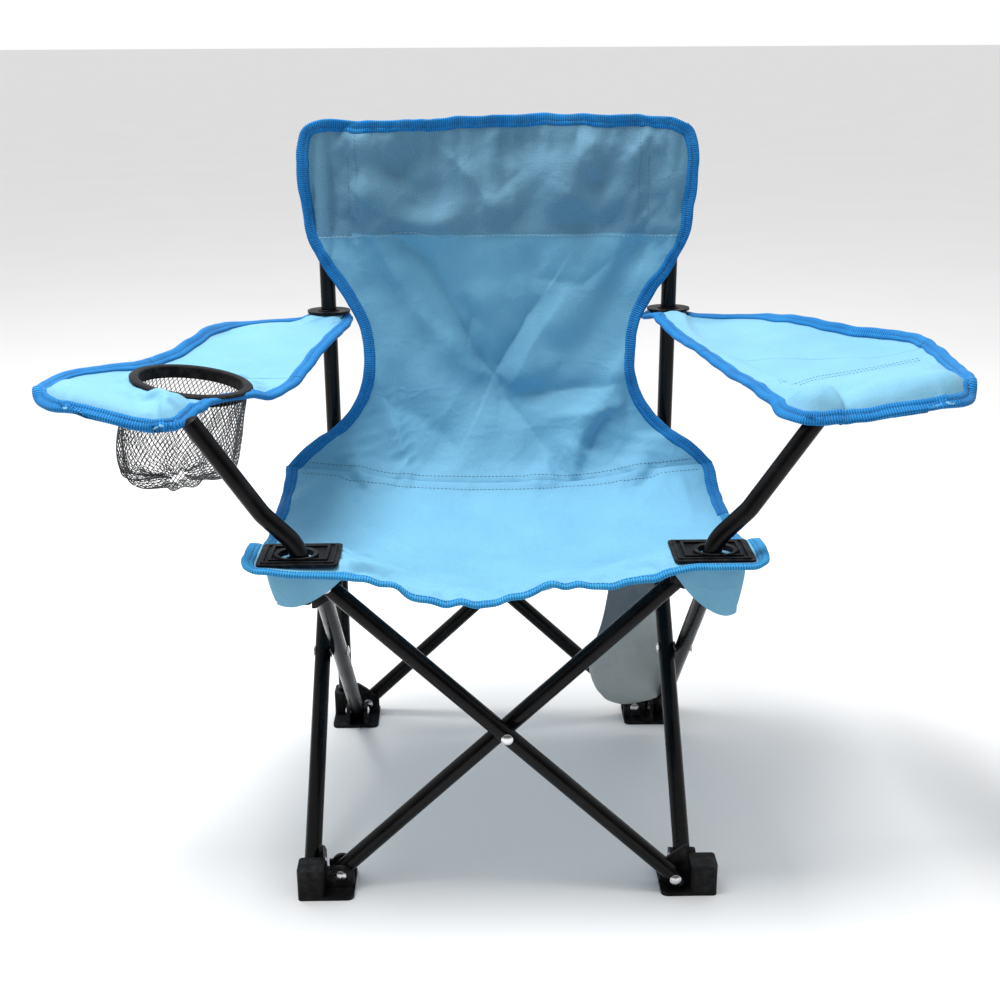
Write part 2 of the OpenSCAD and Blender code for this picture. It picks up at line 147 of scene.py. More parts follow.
def finer(p, times):
    """A grid with its cells split, on Catmull-Rom curves through its points."""
    for axis in (0, 1):
        q = np.moveaxis(p, axis, 0)
        q = np.concatenate([2 * q[:1] - q[1:2], q, 2 * q[-1:] - q[-2:-1]])
        a, b, c, d = q[:-3], q[1:-2], q[2:-1], q[3:]
        parts = []
        for k in range(times):
            t = k / times
            parts.append(0.5 * (2 * b + (c - a) * t + (2 * a - 5 * b + 4 * c - d) * t * t
                                + (3 * b - a - 3 * c + d) * t ** 3))
        out = np.stack(parts, axis=1).reshape(-1, *q.shape[1:])
        p = np.moveaxis(np.concatenate([out, q[-2:-1]]), 0, axis)
    return p


def run_along(line):
    """Distance along a line at each of its points."""
    return np.concatenate([[0], np.cumsum(np.linalg.norm(np.diff(line, axis=0), axis=1))])


def numbered(p):
    """Vertex numbers of a grid of points."""
    return np.arange(p.shape[0] * p.shape[1]).reshape(p.shape[:2])


def grid_quads(index):
    """The cells of a grid of vertex numbers, each as its four corners."""
    return np.stack([index[:-1, :-1], index[:-1, 1:], index[1:, 1:], index[1:, :-1]], axis=2).reshape(-1, 4)


def arc_uv(p):
    """Texture coordinates in metres: distance along the middle of a grid's rows and columns."""
    across = np.linalg.norm(np.diff(p, axis=1), axis=2)
    v = run_along(p[:, p.shape[1] // 2])
    u = np.concatenate([np.zeros((len(p), 1)), np.cumsum(across, axis=1)], axis=1)
    u = u - u[:, -1:] / 2
    return np.stack([u, np.broadcast_to(v[:, None], u.shape)], axis=2) * MM


def smooth_noise(x, y, size, seed, octaves=2):
    """Seeded noise from about -1 to 1 whose bumps are about size across."""
    rng = np.random.default_rng(seed)
    total = 0
    for octave in range(octaves):
        for _ in range(7):
            turn, phase = rng.uniform(0, 2 * math.pi, 2)
            pitch = size * rng.uniform(0.75, 1.5) / 2 ** octave
            wave = (x * math.cos(turn) + y * math.sin(turn)) * 2 * math.pi / (2 * pitch)
            total = total + np.sin(wave + phase) * 0.38 / 2 ** octave
    return total


def fold(x, y, line, height, steep, gentle):
    """Height of a crease along a line of points: steep on its left side and gentle on its right."""
    best = np.full(np.shape(x), 1e9)
    signed = np.zeros(np.shape(x))
    fade = np.ones(np.shape(x))
    count = len(line) - 1
    for k in range(count):
        (x0, y0), (x1, y1) = line[k], line[k + 1]
        dx, dy = x1 - x0, y1 - y0
        run = (dx * dx + dy * dy)
        t = ((x - x0) * dx + (y - y0) * dy) / run
        s = np.clip(t, 0, 1)
        off = np.hypot(x - x0 - s * dx, y - y0 - s * dy)
        side = np.sign((y - y0) * dx - (x - x0) * dy)
        closer = off < best
        best = np.where(closer, off, best)
        signed = np.where(closer, off * side, signed)
        along = (k + s) / count
        fade = np.where(closer, np.clip(np.sin(np.pi * (0.06 + 0.88 * along)) * 1.3, 0, 1), fade)
    reach = np.where(signed > 0, steep, gentle)
    q = best / reach
    return height * fade * np.exp(-q) * (1 + q * 0.35)


def random_folds(x, y, box, count, height, seed):
    """Short seeded creases scattered over box = (x0, x1, y0, y1)."""
    rng = np.random.default_rng(seed)
    total = np.zeros(np.shape(x))
    for _ in range(count):
        cx, cy = rng.uniform(box[0], box[1]), rng.uniform(box[2], box[3])
        turn, length = rng.uniform(0, math.pi), rng.uniform(18, 70)
        dx, dy = math.cos(turn) * length / 2, math.sin(turn) * length / 2
        h = height * rng.uniform(-1, 1)
        total += fold(x, y, [(cx - dx, cy - dy), (cx + dx, cy + dy)], h, rng.uniform(2, 5), rng.uniform(8, 18))
    return total


# ---- Meshes -----------------------------------------------------------------------------------------------

def add_mesh(name, verts, faces, uv=None, materials=(), face_material=None, normals=None):
    """A mesh object from points in millimetres, smooth shaded."""
    mesh = bpy.data.meshes.new(name)
    mesh.from_pydata((np.asarray(verts) * MM).tolist(), [], [tuple(int(i) for i in f) for f in faces])
    mesh.validate(clean_customdata=False)
    if uv is not None:
        layer = mesh.uv_layers.new(name="UVMap")
        index = np.zeros(len(mesh.loops), int)
        mesh.loops.foreach_get("vertex_index", index)
        layer.data.foreach_set("uv", np.asarray(uv, float)[index].ravel())
    for m in materials:
        mesh.materials.append(m)
    if face_material is not None:
        mesh.polygons.foreach_set("material_index", np.asarray(face_material, np.int32))
    mesh.polygons.foreach_set("use_smooth", [True] * len(mesh.polygons))
    if normals is not None:
        mesh.normals_split_custom_set_from_vertices([tuple(n) for n in normals])
    mesh.update()
    piece = bpy.data.objects.new(name, mesh)
    bpy.context.scene.collection.objects.link(piece)
    return piece


def panel(name, p, thickness, uv, materials, n=None, keep=None, above=None, below=None, face_material=None):
    """A closed cloth panel round the grid p. above and below are extra heights of its two faces."""
    n = grid_normals(p) if n is None else n
    half = thickness / 2
    over = half if above is None else half + above[..., None]
    under = half if below is None else half + below[..., None]
    top, bottom = (p + n * over).reshape(-1, 3), (p - n * under).reshape(-1, 3)
    quads = grid_quads(numbered(p))
    tags = np.zeros(len(quads), int) if face_material is None else face_material.ravel()
    if keep is not None:
        quads, tags = quads[keep.ravel()], tags[keep.ravel()]
    edges = np.concatenate([quads[:, [k, (k + 1) % 4]] for k in range(4)])
    edge_tags = np.tile(tags, 4)
    known = set(map(tuple, edges.tolist()))
    size = p.shape[0] * p.shape[1]
    free = [(a, b, t) for (a, b), t in zip(edges.tolist(), edge_tags.tolist()) if (b, a) not in known]
    walls = [(b, a, a + size, b + size) for a, b, _ in free]
    faces = np.concatenate([quads, quads[:, ::-1] + size]).tolist() + walls
    all_tags = np.concatenate([tags, tags, [t for _, _, t in free]])
    verts = np.concatenate([top, bottom])
    flat = uv.reshape(-1, 2)
    texture = np.concatenate([flat, flat])
    used = np.unique(np.array([i for f in faces for i in f]))
    renumber = np.full(2 * size, -1)
    renumber[used] = np.arange(len(used))
    faces = [[renumber[i] for i in f] for f in faces]
    tn, bn = grid_normals(p + n * over).reshape(-1, 3), -grid_normals(p - n * under).reshape(-1, 3)
    custom = np.concatenate([tn, bn])[used] if above is None else None
    return add_mesh(name, verts[used], faces, texture[used], materials, all_tags, custom)


def tree_of(p):
    """A search tree over a grid's surface, in millimetres."""
    return BVHTree.FromPolygons([tuple(v) for v in p.reshape(-1, 3)], grid_quads(numbered(p)).tolist())


def on_cloth(tree, point):
    """The closest point of the cloth and its normal there."""
    spot, normal, _, _ = tree.find_nearest(Vector(point))
    return np.array(spot), np.array(normal)


def even(line, pitch):
    """Points along a line at an even pitch."""
    line = np.asarray(line, float)
    run = run_along(line)
    count = max(2, int(round(run[-1] / pitch)) + 1)
    at = np.linspace(0, run[-1], count)
    return np.stack([np.interp(at, run, line[:, k]) for k in range(3)], axis=1)


def even_pair(edge, inside, pitch):
    """An edge and the points inside it, at an even pitch along the edge and slightly eased."""
    run = run_along(edge)
    at = np.linspace(0, run[-1], max(4, int(round(run[-1] / pitch)) + 1))
    both = [np.stack([np.interp(at, run, line[:, k]) for k in range(3)], axis=1) for line in (edge, inside)]
    return eased(both[0], 2), both[1]


def eased(line, reach):
    """A row of values, each averaged with its neighbours, with the ends kept."""
    out = line.copy()
    for _ in range(reach):
        out[1:-1] = (out[:-2] + 2 * out[1:-1] + out[2:]) / 4
    return out


def tape(name, edge, inside, tree, width, material, seed, lift=0.0):
    """Binding tape folded over an edge. inside is a point within the cloth for each edge point, and lift is how
    far the tape stands off the cloth."""
    edge, inside = even_pair(edge, inside, 2.4)
    count = len(edge)
    tangent = unit(eased(np.gradient(edge, axis=0), 3))
    run = run_along(edge)
    wander = smooth_noise(run, 0 * run, 17, seed, 2) * 0.7
    widths = width * (1 + 0.06 * smooth_noise(run, 0 * run, 30, seed + 1, 1))
    steps = (1.0, 0.8, 0.62, 0.55, 0.48, 0.25, 0.08)
    swell = (0.25, 0.95, 0.95, 0.55, 0.95, 1.15, 1.1)
    normals = unit(eased(np.array([on_cloth(tree, e + 0.3 * (i - e))[1] for e, i in zip(edge, inside)]), 3))
    inwards = unit(np.cross(normals, tangent))
    inwards = inwards * np.sign((inwards * (inside - edge)).sum())
    rings = []
    for k, (normal, inward) in enumerate(zip(normals, inwards)):
        start = edge[k] - inward * (wander[k] * 0.6)
        up, down = [], []
        for share, full in zip(steps, swell):
            spot, local = on_cloth(tree, start + inward * (widths[k] * share))
            if local @ normal < 0:
                local = -local
            up.append(spot + local * (FABRIC_T / 2 + lift + TAPE_T * full))
            down.append(spot - local * (FABRIC_T / 2 + lift + TAPE_T * full))
        rim = start - inward * (TAPE_T * 1.3)
        round_up = start - inward * (TAPE_T * 0.9) + normal * (TAPE_T + FABRIC_T) * 0.72
        round_down = start - inward * (TAPE_T * 0.9) - normal * (TAPE_T + FABRIC_T) * 0.72
        rings.append(up + [round_up, rim, round_down] + down[::-1])
    rings = np.array(rings)
    across = rings.shape[1]
    index = np.arange(count * across).reshape(count, across)
    faces = np.stack([index[:-1, :-1], index[1:, :-1], index[1:, 1:], index[:-1, 1:]], axis=2)
    faces = faces.reshape(-1, 4).tolist()
    faces += [[index[k, -1], index[k + 1, -1], index[k + 1, 0], index[k, 0]] for k in range(count - 1)]
    faces += [index[0].tolist(), index[-1, ::-1].tolist()]
    span = np.linspace(0, 2 * width + 3, across) * MM
    uv = np.stack([np.broadcast_to(run[:, None] * MM, index.shape), np.broadcast_to(span, index.shape)], axis=2)
    piece = add_mesh(name, rings.reshape(-1, 3), faces, uv.reshape(-1, 2), [material])
    fix_normals(piece)
    return piece


def fix_normals(piece):
    """Turns a closed mesh's faces outward."""
    bm = bmesh.new()
    bm.from_mesh(piece.data)
    bmesh.ops.recalc_face_normals(bm, faces=bm.faces)
    bm.to_mesh(piece.data)
    bm.free()


def stitches(name, line, tree, material, offset, pitch=3.4, share=0.68, radius=0.32):
    """A row of stitches: short thread loops that rise from the cloth along a line of points."""
    points = even(line, pitch)
    sides, rings = 6, 5
    verts, faces = [], []
    for a, b in zip(points[:-1], points[1:]):
        gap = (b - a) * (1 - share) / 2
        (p, n), (q, _) = on_cloth(tree, a + gap), on_cloth(tree, b - gap)
        if n[2] - n[1] < 0:
            n = -n
        along = unit(q - p)
        side = np.cross(n, along)
        base = len(verts)
        for k in range(rings):
            t = k / (rings - 1)
            lift = offset + radius * (1.2 * math.sin(math.pi * t) - 0.5)
            centre = p + (q - p) * t + n * lift
            fat = radius * (0.45 + 0.55 * math.sin(math.pi * t) ** 0.5)
            for s in range(sides):
                turn = 2 * math.pi * s / sides
                verts.append(centre + (side * math.cos(turn) + n * math.sin(turn)) * fat)
        for k in range(rings - 1):
            for s in range(sides):
                c, d = base + k * sides, base + (k + 1) * sides
                faces.append((c + s, c + (s + 1) % sides, d + (s + 1) % sides, d + s))
        faces.append(tuple(base + s for s in reversed(range(sides))))
        faces.append(tuple(base + (rings - 1) * sides + s for s in range(sides)))
    return add_mesh(name, verts, faces, None, [material])


def sew(made, name, body, *args):
    """Adds a row of stitches to made, which holds each trim piece with its body."""
    made[name] = (stitches(name, *args), body)


def settle(name, p, pinned, frames, shrink, gravity, bend, cap):
    """Lets a grid of cloth settle by simulation. shrink below 0 gives it spare cloth, which wrinkles, and
    no point moves further than cap."""
    cloth = add_mesh(name, p.reshape(-1, 3), grid_quads(numbered(p)))
    group = cloth.vertex_groups.new(name=HELD)
    for i, w in enumerate(pinned.ravel().tolist()):
        group.add([i], w, "REPLACE")
    made = cloth.modifiers.new("cloth", "CLOTH")
    for key, value in dict(quality=6, mass=0.2, tension_stiffness=20, compression_stiffness=20, shear_stiffness=8,
                           bending_stiffness=bend, vertex_group_mass=HELD, shrink_min=shrink).items():
        setattr(made.settings, key, value)
    made.settings.effector_weights.gravity = gravity
    made.point_cache.frame_start, made.point_cache.frame_end = 1, frames
    scene = bpy.context.scene
    for f in range(1, frames + 1):
        scene.frame_set(f)
    shaped = cloth.evaluated_get(bpy.context.evaluated_depsgraph_get())
    found = np.array([v.co for v in shaped.data.vertices]).reshape(p.shape) / MM
    scene.frame_set(1)
    bpy.data.objects.remove(cloth)
    move = found - p
    far = np.linalg.norm(move, axis=2, keepdims=True)
    return p + move * np.minimum(1, cap / np.maximum(far, 1e-9))


# ---- Materials --------------------------------------------------------------------------------------------

class Shader:
    """A node material with a Principled shader and short ways to add and join nodes."""

    def __init__(self, name, **values):
        self.material = bpy.data.materials.new(name)
        self.material.use_nodes = True
        self.tree = self.material.node_tree
        self.surface = self.tree.nodes["Principled BSDF"]
        self.coordinates = self.tree.nodes.new("ShaderNodeTexCoord")
        for key, value in values.items():
            self.surface.inputs[key.replace("_", " ")].default_value = value

    def add(self, kind, out=0, **inputs):
        """Adds a node and returns its output. Inputs are sockets by name, and values beginning with a lower
        case letter are the node's own settings."""
        node = self.tree.nodes.new(kind)
        for key, value in inputs.items():
            if key[0].islower() and hasattr(node, key):
                setattr(node, key, value)
                continue
            socket = node.inputs[int(key[1:])] if key[0] == "i" and key[1:].isdigit() \
                else node.inputs[key.replace("_", " ")]
            if isinstance(value, bpy.types.NodeSocket):
                self.tree.links.new(value, socket)
            else:
                socket.default_value = value
        return node.outputs[out]

    def link(self, value, name):
        self.tree.links.new(value, self.surface.inputs[name])

    def space(self, kind, scale):
        where = self.coordinates.outputs[kind]
        return self.add("ShaderNodeMapping", Vector=where, Scale=scale)

    def noise(self, where, scale, detail=3.0, rough=0.5):
        return self.add("ShaderNodeTexNoise", Vector=where, Scale=scale, Detail=detail, Roughness=rough)

    def ramp(self, value, low, high, to_low=0.0, to_high=1.0):
        return self.add("ShaderNodeMapRange", i0=value, i1=low, i2=high, i3=to_low, i4=to_high)

    def math(self, operation, a, b):
        return self.add("ShaderNodeMath", operation=operation, i0=a, i1=b)

    def mix(self, share, a, b):
        node = self.tree.nodes.new("ShaderNodeMix")
        node.data_type = "RGBA"
        for socket, value in ((node.inputs[0], share), (node.inputs[6], a), (node.inputs[7], b)):
            if isinstance(value, bpy.types.NodeSocket):
                self.tree.links.new(value, socket)
            else:
                socket.default_value = value
        return node.outputs[2]

    def bump(self, height, distance, strength=1.0, under=None):
        inputs = {"Height": height, "Distance": distance, "Strength": strength}
        if under is not None:
            inputs["Normal"] = under
        return self.add("ShaderNodeBump", **inputs)


WAVE_PERIOD = 0.31416


def rgb(r, g, b):
    return (r, g, b, 1.0)


def woven(name, light, dark, thread, crush):
    """Light polyester cloth: a plain weave with painted shade in the gaps between its threads, slow colour changes
    and the fine creases of packing.
    """
    s = Shader(name, Roughness=0.62, Sheen_Weight=0.08, Sheen_Roughness=0.45, Specular_IOR_Level=0.25)
    where = s.space("UV", (1, 1, 1))
    warp = s.add("ShaderNodeTexWave", out=1, Vector=where, Scale=WAVE_PERIOD / thread, bands_direction="X")
    weft = s.add("ShaderNodeTexWave", out=1, Vector=where, Scale=WAVE_PERIOD / thread, bands_direction="Y")
    weave = s.math("MULTIPLY", warp, weft)
    slow = s.noise(where, 14.0, 4.0, 0.55)
    fine = s.noise(where, 900.0, 2.0)
    cells = s.add("ShaderNodeTexVoronoi", Vector=s.add("ShaderNodeVectorMath", operation="ADD", i0=where,
                  i1=s.math("MULTIPLY", s.noise(where, 40.0), 0.02)), Scale=26.0, feature="DISTANCE_TO_EDGE")
    crease = s.ramp(cells, 0.0, 0.10, 1.0, 0.0)
    patches = s.noise(where, 45.0, 3.0, 0.5)
    tone = s.mix(s.ramp(slow, 0.32, 0.68), rgb(*dark), rgb(*light))
    # Painted shade: the gaps between the threads are darkened a little.
    gap_shaded_tone = s.mix(s.ramp(weave, 0.0, 0.9, 0.10, 0.0), tone, rgb(*(c * 0.55 for c in dark)))
    s.link(s.mix(s.ramp(fine, 0.35, 0.7, 0.0, 0.07), gap_shaded_tone, rgb(0.9, 0.97, 1.0)), "Base Color")
    s.link(s.ramp(slow, 0.3, 0.7, 0.55, 0.70), "Roughness")
    first = s.bump(patches, 0.0022 * crush, 0.7)
    second = s.bump(crease, 0.0004 * crush, 0.5, first)
    s.link(s.bump(weave, 0.00018, 0.7, second), "Normal")
    return s.material


def grosgrain(name, light, dark):
    """Ribbed binding tape with a stitched valley along it and painted shade in the grooves between its ribs. Its u
    runs along the tape.
    """
    s = Shader(name, Roughness=0.6, Sheen_Weight=0.05, Sheen_Roughness=0.4, Specular_IOR_Level=0.12)
    where = s.space("UV", (1, 1, 1))
    ribs = s.add("ShaderNodeTexWave", out=1, Vector=where, Scale=WAVE_PERIOD / 0.0018, bands_direction="X",
                 Distortion=0.6, Detail=1.0, Detail_Scale=2.0)
    cords = s.add("ShaderNodeTexWave", out=1, Vector=where, Scale=WAVE_PERIOD / 0.0009, bands_direction="Y")
    slow = s.noise(where, 60.0, 3.0)
    tone = s.mix(s.ramp(slow, 0.3, 0.7), rgb(*dark), rgb(*light))
    # Painted shade: the grooves between the ribs are darkened.
    tone = s.mix(s.ramp(ribs, 0.0, 0.7, 0.75, 0.0), tone, rgb(*(c * 0.4 for c in dark)))
    s.link(tone, "Base Color")
    s.link(s.ramp(ribs, 0.0, 1.0, 0.7, 0.48), "Roughness")
    first = s.bump(slow, 0.001, 0.5)
    second = s.bump(ribs, 0.0005, 0.9, first)
    s.link(s.bump(cords, 0.00015, 0.5, second), "Normal")
    return s.material


def thread(name, colour):
    """Twisted sewing thread, with painted shade in the grooves of its twist."""
    s = Shader(name, Roughness=0.5, Sheen_Weight=0.3)
    where = s.space("Object", (1, 1, 1))
    twist = s.add("ShaderNodeTexWave", out=1, Vector=where, Scale=420.0, bands_direction="DIAGONAL")
    # Painted shade: the grooves of the twist are darkened.
    s.link(s.mix(s.ramp(twist, 0.2, 0.9, 0.35, 0.0), rgb(*colour), rgb(*(c * 0.5 for c in colour))), "Base Color")
    s.link(s.bump(twist, 0.0001, 0.6), "Normal")
    return s.material


def enamel(name):
    """Gloss black enamel on steel tube, with orange peel, faint scratches and dust."""
    s = Shader(name, Roughness=0.2, Coat_Weight=0.06, Coat_Roughness=0.06, Specular_IOR_Level=0.1)
    where = s.space("Object", (1, 1, 1))
    dust = s.noise(where, 35.0, 5.0, 0.6)
    peel = s.noise(where, 420.0, 2.0)
    scratch = s.noise(s.space("Object", (900, 900, 60)), 1.0, 2.0, 0.7)
    tone = s.mix(s.ramp(dust, 0.45, 0.8), rgb(0.003, 0.003, 0.0035), rgb(0.009, 0.009, 0.010))
    s.link(s.mix(s.ramp(scratch, 0.72, 0.80, 0.0, 0.3), tone, rgb(0.03, 0.03, 0.031)), "Base Color")
    s.link(s.ramp(dust, 0.35, 0.75, 0.16, 0.34), "Roughness")
    s.link(s.bump(scratch, 0.00004, 0.3, s.bump(peel, 0.00025, 0.35)), "Normal")
    return s.material


def moulded(name):
    """Black moulded plastic with a fine spark grain and paler worn edges."""
    s = Shader(name, Roughness=0.45, Specular_IOR_Level=0.07)
    where = s.space("Object", (1, 1, 1))
    grain = s.noise(where, 1500.0, 2.0)
    cloud = s.noise(where, 60.0, 4.0)
    wear = s.ramp(s.add("ShaderNodeNewGeometry", out=7), 0.52, 0.60, 0.0, 0.7)
    worn = s.math("MULTIPLY", wear, s.ramp(s.noise(where, 180.0, 3.0), 0.4, 0.7))
    tone = s.mix(s.ramp(cloud, 0.35, 0.7), rgb(0.005, 0.005, 0.0055), rgb(0.011, 0.011, 0.012))
    s.link(s.mix(worn, tone, rgb(0.04, 0.04, 0.042)), "Base Color")
    s.link(s.ramp(cloud, 0.3, 0.7, 0.36, 0.55), "Roughness")
    s.link(s.bump(grain, 0.00012, 0.6), "Normal")
    return s.material


def nickel(name):
    """Nickel plated rivet, lightly brushed and spotted."""
    s = Shader(name, Metallic=1.0, Roughness=0.25)
    where = s.space("Object", (1, 1, 1))
    brushed = s.noise(s.space("Object", (2600, 500, 500)), 1.0, 2.0)
    spots = s.noise(where, 700.0, 3.0)
    s.link(s.mix(s.ramp(spots, 0.5, 0.75), rgb(0.72, 0.72, 0.74), rgb(0.42, 0.42, 0.44)), "Base Color")
    s.link(s.ramp(brushed, 0.3, 0.7, 0.16, 0.36), "Roughness")
    s.link(s.bump(brushed, 0.00005, 0.5), "Normal")
    return s.material


def netting(name):
    """Black knitted polyester cord of the cup pouch."""
    s = Shader(name, Roughness=0.5, Sheen_Weight=0.4, Sheen_Roughness=0.4)
    where = s.space("Object", (1, 1, 1))
    knit = s.noise(where, 1800.0, 2.0)
    s.link(s.mix(s.ramp(knit, 0.35, 0.7), rgb(0.008, 0.008, 0.009), rgb(0.025, 0.025, 0.027)), "Base Color")
    s.link(s.bump(knit, 0.0002, 0.8), "Normal")
    return s.material


def coated(name):
    """White waterproof coating on thin cloth, creased and slightly see-through, with the bag's upper left painted
    slate as painted shade from the seat above it.
    """
    s = Shader(name, Roughness=0.42, Subsurface_Weight=0.25, Subsurface_Scale=0.01, Coat_Weight=0.15)
    where = s.space("UV", (1, 1, 1))
    cloud = s.noise(where, 22.0, 4.0)
    crumple = s.noise(where, 60.0, 5.0, 0.65)
    cells = s.add("ShaderNodeTexVoronoi", Vector=where, Scale=38.0, feature="DISTANCE_TO_EDGE")
    white = s.mix(s.ramp(cloud, 0.35, 0.65), rgb(0.50, 0.485, 0.47), rgb(0.62, 0.60, 0.585))
    place = s.tree.nodes.new("ShaderNodeSeparateXYZ")
    s.tree.links.new(s.coordinates.outputs["Object"], place.inputs[0])
    # Painted shade: the upper left of the bag, in the shade under the seat, is painted slate.
    under_seat_shade = s.math("SUBTRACT", place.outputs["Z"], s.math("MULTIPLY", place.outputs["X"], 1.115))
    s.link(s.mix(s.ramp(under_seat_shade, -0.018, -0.008), white, rgb(0.13, 0.17, 0.205)), "Base Color")
    first = s.bump(crumple, 0.004, 0.7)
    s.link(s.bump(s.ramp(cells, 0.0, 0.12, 1.0, 0.0), 0.0006, 0.5, first), "Normal")
    return s.material


SKY = woven("fabric_sky", (0.155, 0.43, 0.62), (0.125, 0.375, 0.565), 0.0011, 1.0)
# Darker copy of the sky cloth, used on the doubled head band and on the post sleeves: painted shade.
SKY_SHADED = woven("fabric_sky_shaded", (0.115, 0.285, 0.41), (0.09, 0.245, 0.37), 0.0011, 1.0)
SKY_ARM = woven("fabric_armrest", (0.17, 0.44, 0.62), (0.145, 0.40, 0.58), 0.0011, 0.7)
TAPE = grosgrain("binding_tape", (0.022, 0.27, 0.66), (0.012, 0.20, 0.55))
# Lighter copy of the binding tape, used on the seat's front edge: painted light.
TAPE_LIT = grosgrain("binding_tape_lit", (0.05, 0.37, 0.72), (0.03, 0.28, 0.62))
THREAD_WHITE = thread("thread_white", (0.42, 0.58, 0.70))
THREAD_BLUE = thread("thread_blue", (0.010, 0.075, 0.22))
THREAD_DARK = thread("thread_slate", (0.035, 0.12, 0.21))
ENAMEL = enamel("frame_enamel")
PLASTIC = moulded("moulded_plastic")
NICKEL = nickel("rivet_nickel")
NET = netting("cup_netting")
COATED_SHADED = coated("coated_white_shaded")

CAD_MATERIALS = {"frame_black": ENAMEL, "plastic_black": PLASTIC, "rivet_steel": NICKEL}


def dress_cad_nodes():
    """Gives each CAD node that stays visible the material of its record slot."""
    for part in frame["record"]["subparts"]:
        material = CAD_MATERIALS.get(part["material_slot"])
        if material is None:
            continue
        mesh = frame["nodes"][part["node"]].data
        mesh.materials.clear()
        mesh.materials.append(material)


# ---- Sling: seat and back ---------------------------------------------------------------------------------

back_half = curve((SEAM_Z, 184), (270, 176), (285, 157), (304, 135), (325, 122), (352, 115), (378, 118),
                  (404, 131), (430, 150), (452, 161), (478, 165), (536, 165), (543, 163), (548, 157),
                  (BACK_TOP, 146))
back_depth = curve((SEAM_Z, 100), (285, 111), (309, 120.5), (330, 127), (360, 132), (392, 136), (430, 139.3),
                   (BACK_TOP, 139.3))
seat_side = curve((SEAT_FRONT_Y, 263), (-160, 268.6), (-140, 269.2), (-112, 268.6), (-60, 256), (20, 243),
                  (60, 249), (SEAM_Y, SEAM_Z))
seat_drop = curve((SEAT_FRONT_Y, 21), (-120, 29), (-60, 25), (25, 13), (SEAM_Y, 11))
seat_hollow = curve((SEAT_FRONT_Y, 112), (-112, 112), (-50, SEAT_HALF - 1))
seat_lip = curve((-183, 272), (-143, 266.5), (-112, 264.5), (-74, 253.5), (-43, 245), (-5, 246), (23, 254.5),
                 (79, 257), (106, 264), (134, 270), (183, 272))
seat_half = curve((SEAT_FRONT_Y, 173), (-165, 178), (-158, 181.5), (-140, 182.5), (-60, 181), (20, 184),
                  (SEAM_Y, 184))

BACK_FOLDS = (
    ([(-98, 468), (-62, 432), (-25, 366), (-7, 330), (45, 268)], -6.0, 9, 30),
    ([(38, 402), (8, 356), (-7, 326)], -5.0, 6, 20),
    ([(62, 410), (24, 352), (10, 318)], 1.6, 16, 7),
    ([(22, 450), (33, 418), (72, 412), (104, 440)], -2.4, 9, 18),
    ([(-118, 330), (-70, 300), (-28, 268)], -2.8, 8, 26),
    ([(16, 316), (60, 322), (112, 330)], -3.0, 5, 14),
    ([(40, 296), (92, 306), (110, 312)], 2.6, 4, 14),
    ([(100, 312), (86, 284), (78, 266)], -3.4, 5, 14),
    ([(-30, 404), (-22, 384), (-26, 360)], -2.4, 3, 9),
    ([(-60, 536), (-20, 500), (6, 462)], 3.6, 22, 12),
    ([(4, 540), (20, 508), (-6, 486)], -3.0, 12, 18),
    ([(40, 500), (72, 478), (92, 462)], 2.8, 12, 14),
    ([(-100, 520), (-70, 492), (-72, 466)], -2.6, 14, 12),
    ([(84, 540), (70, 520), (96, 498)], 2.4, 10, 16),
)
SEAT_FOLDS = (
    ([(-150, 60), (-110, 20), (-60, -20)], 2.2, 6, 18),
    ([(120, 70), (90, 20), (96, -40)], 1.8, 6, 16),
    ([(-30, 96), (-20, 60), (-44, 20)], -1.8, 5, 14),
    ([(60, -150), (40, -90), (70, -30)], 1.8, 8, 18),
    ([(-90, -158), (-60, -110), (-80, -60)], -1.8, 8, 18),
    ([(-112, -120), (-70, -90), (0, -80)], 1.6, 7, 20),
    ([(112, -120), (60, -96), (10, -84)], 1.6, 7, 20),
)


def sling_surface(seat_rows, back_rows, columns):
    """The sling's middle surface: seat rows by y, then back rows by z, from the left edge to the right."""
    share = np.linspace(-1, 1, columns)
    y = np.asarray(seat_rows, float)[:, None]
    x = seat_half(y) * share
    inner = np.minimum(np.abs(x) / seat_hollow(y), 1)
    z = seat_side(y) - seat_drop(y) * (1 - inner ** 2) * (1 - 0.3 * inner ** 2)
    z = z + 3.0 * step(175, 184, np.abs(x)) * step(-100, -130, y) * step(SEAT_FRONT_Y, -160, y)
    near = -126 - 22 * step(92, 110, np.abs(x))
    z = z + (seat_lip(x) - z) * step(near, near - 18, y)
    seat = np.stack([x, np.broadcast_to(y, x.shape), z], axis=2)
    h = np.asarray(back_rows, float)[:, None]
    x = back_half(h) * share
    lower = step(SEAM_Z + 60, SEAM_Z, h)
    sag = 7 * (1 - share ** 2) * step(SEAM_Z, 330, h)
    top_wave = 2.2 * np.sin(x / 46 + 0.6) * step(500, BACK_TOP, h)
    height = h - lower * seat_drop(SEAM_Y) * (1 - share ** 2) + top_wave
    back = np.stack([x, back_depth(h) + sag, height], axis=2)
    return np.concatenate([seat, back[1:]])


def sling_rows(cell):
    """Row positions of the seat, front to seam with one row on the fold line, and of the back, seam to top."""
    front = np.linspace(SEAT_FRONT_Y, SEAT_FOLD_Y, round((SEAT_FOLD_Y - SEAT_FRONT_Y) / cell) + 1)
    rear = np.linspace(SEAT_FOLD_Y, SEAM_Y, round((SEAM_Y - SEAT_FOLD_Y) / cell) + 1)
    back = np.linspace(SEAM_Z, BACK_TOP, round((BACK_TOP - SEAM_Z) / cell) + 1)
    return np.concatenate([front, rear[1:]]), back, len(front) - 1


def split(rows, times):
    """Row positions with times steps between each pair."""
    at = np.arange(len(rows))
    return np.interp(np.linspace(0, len(rows) - 1, (len(rows) - 1) * times + 1), at, rows)


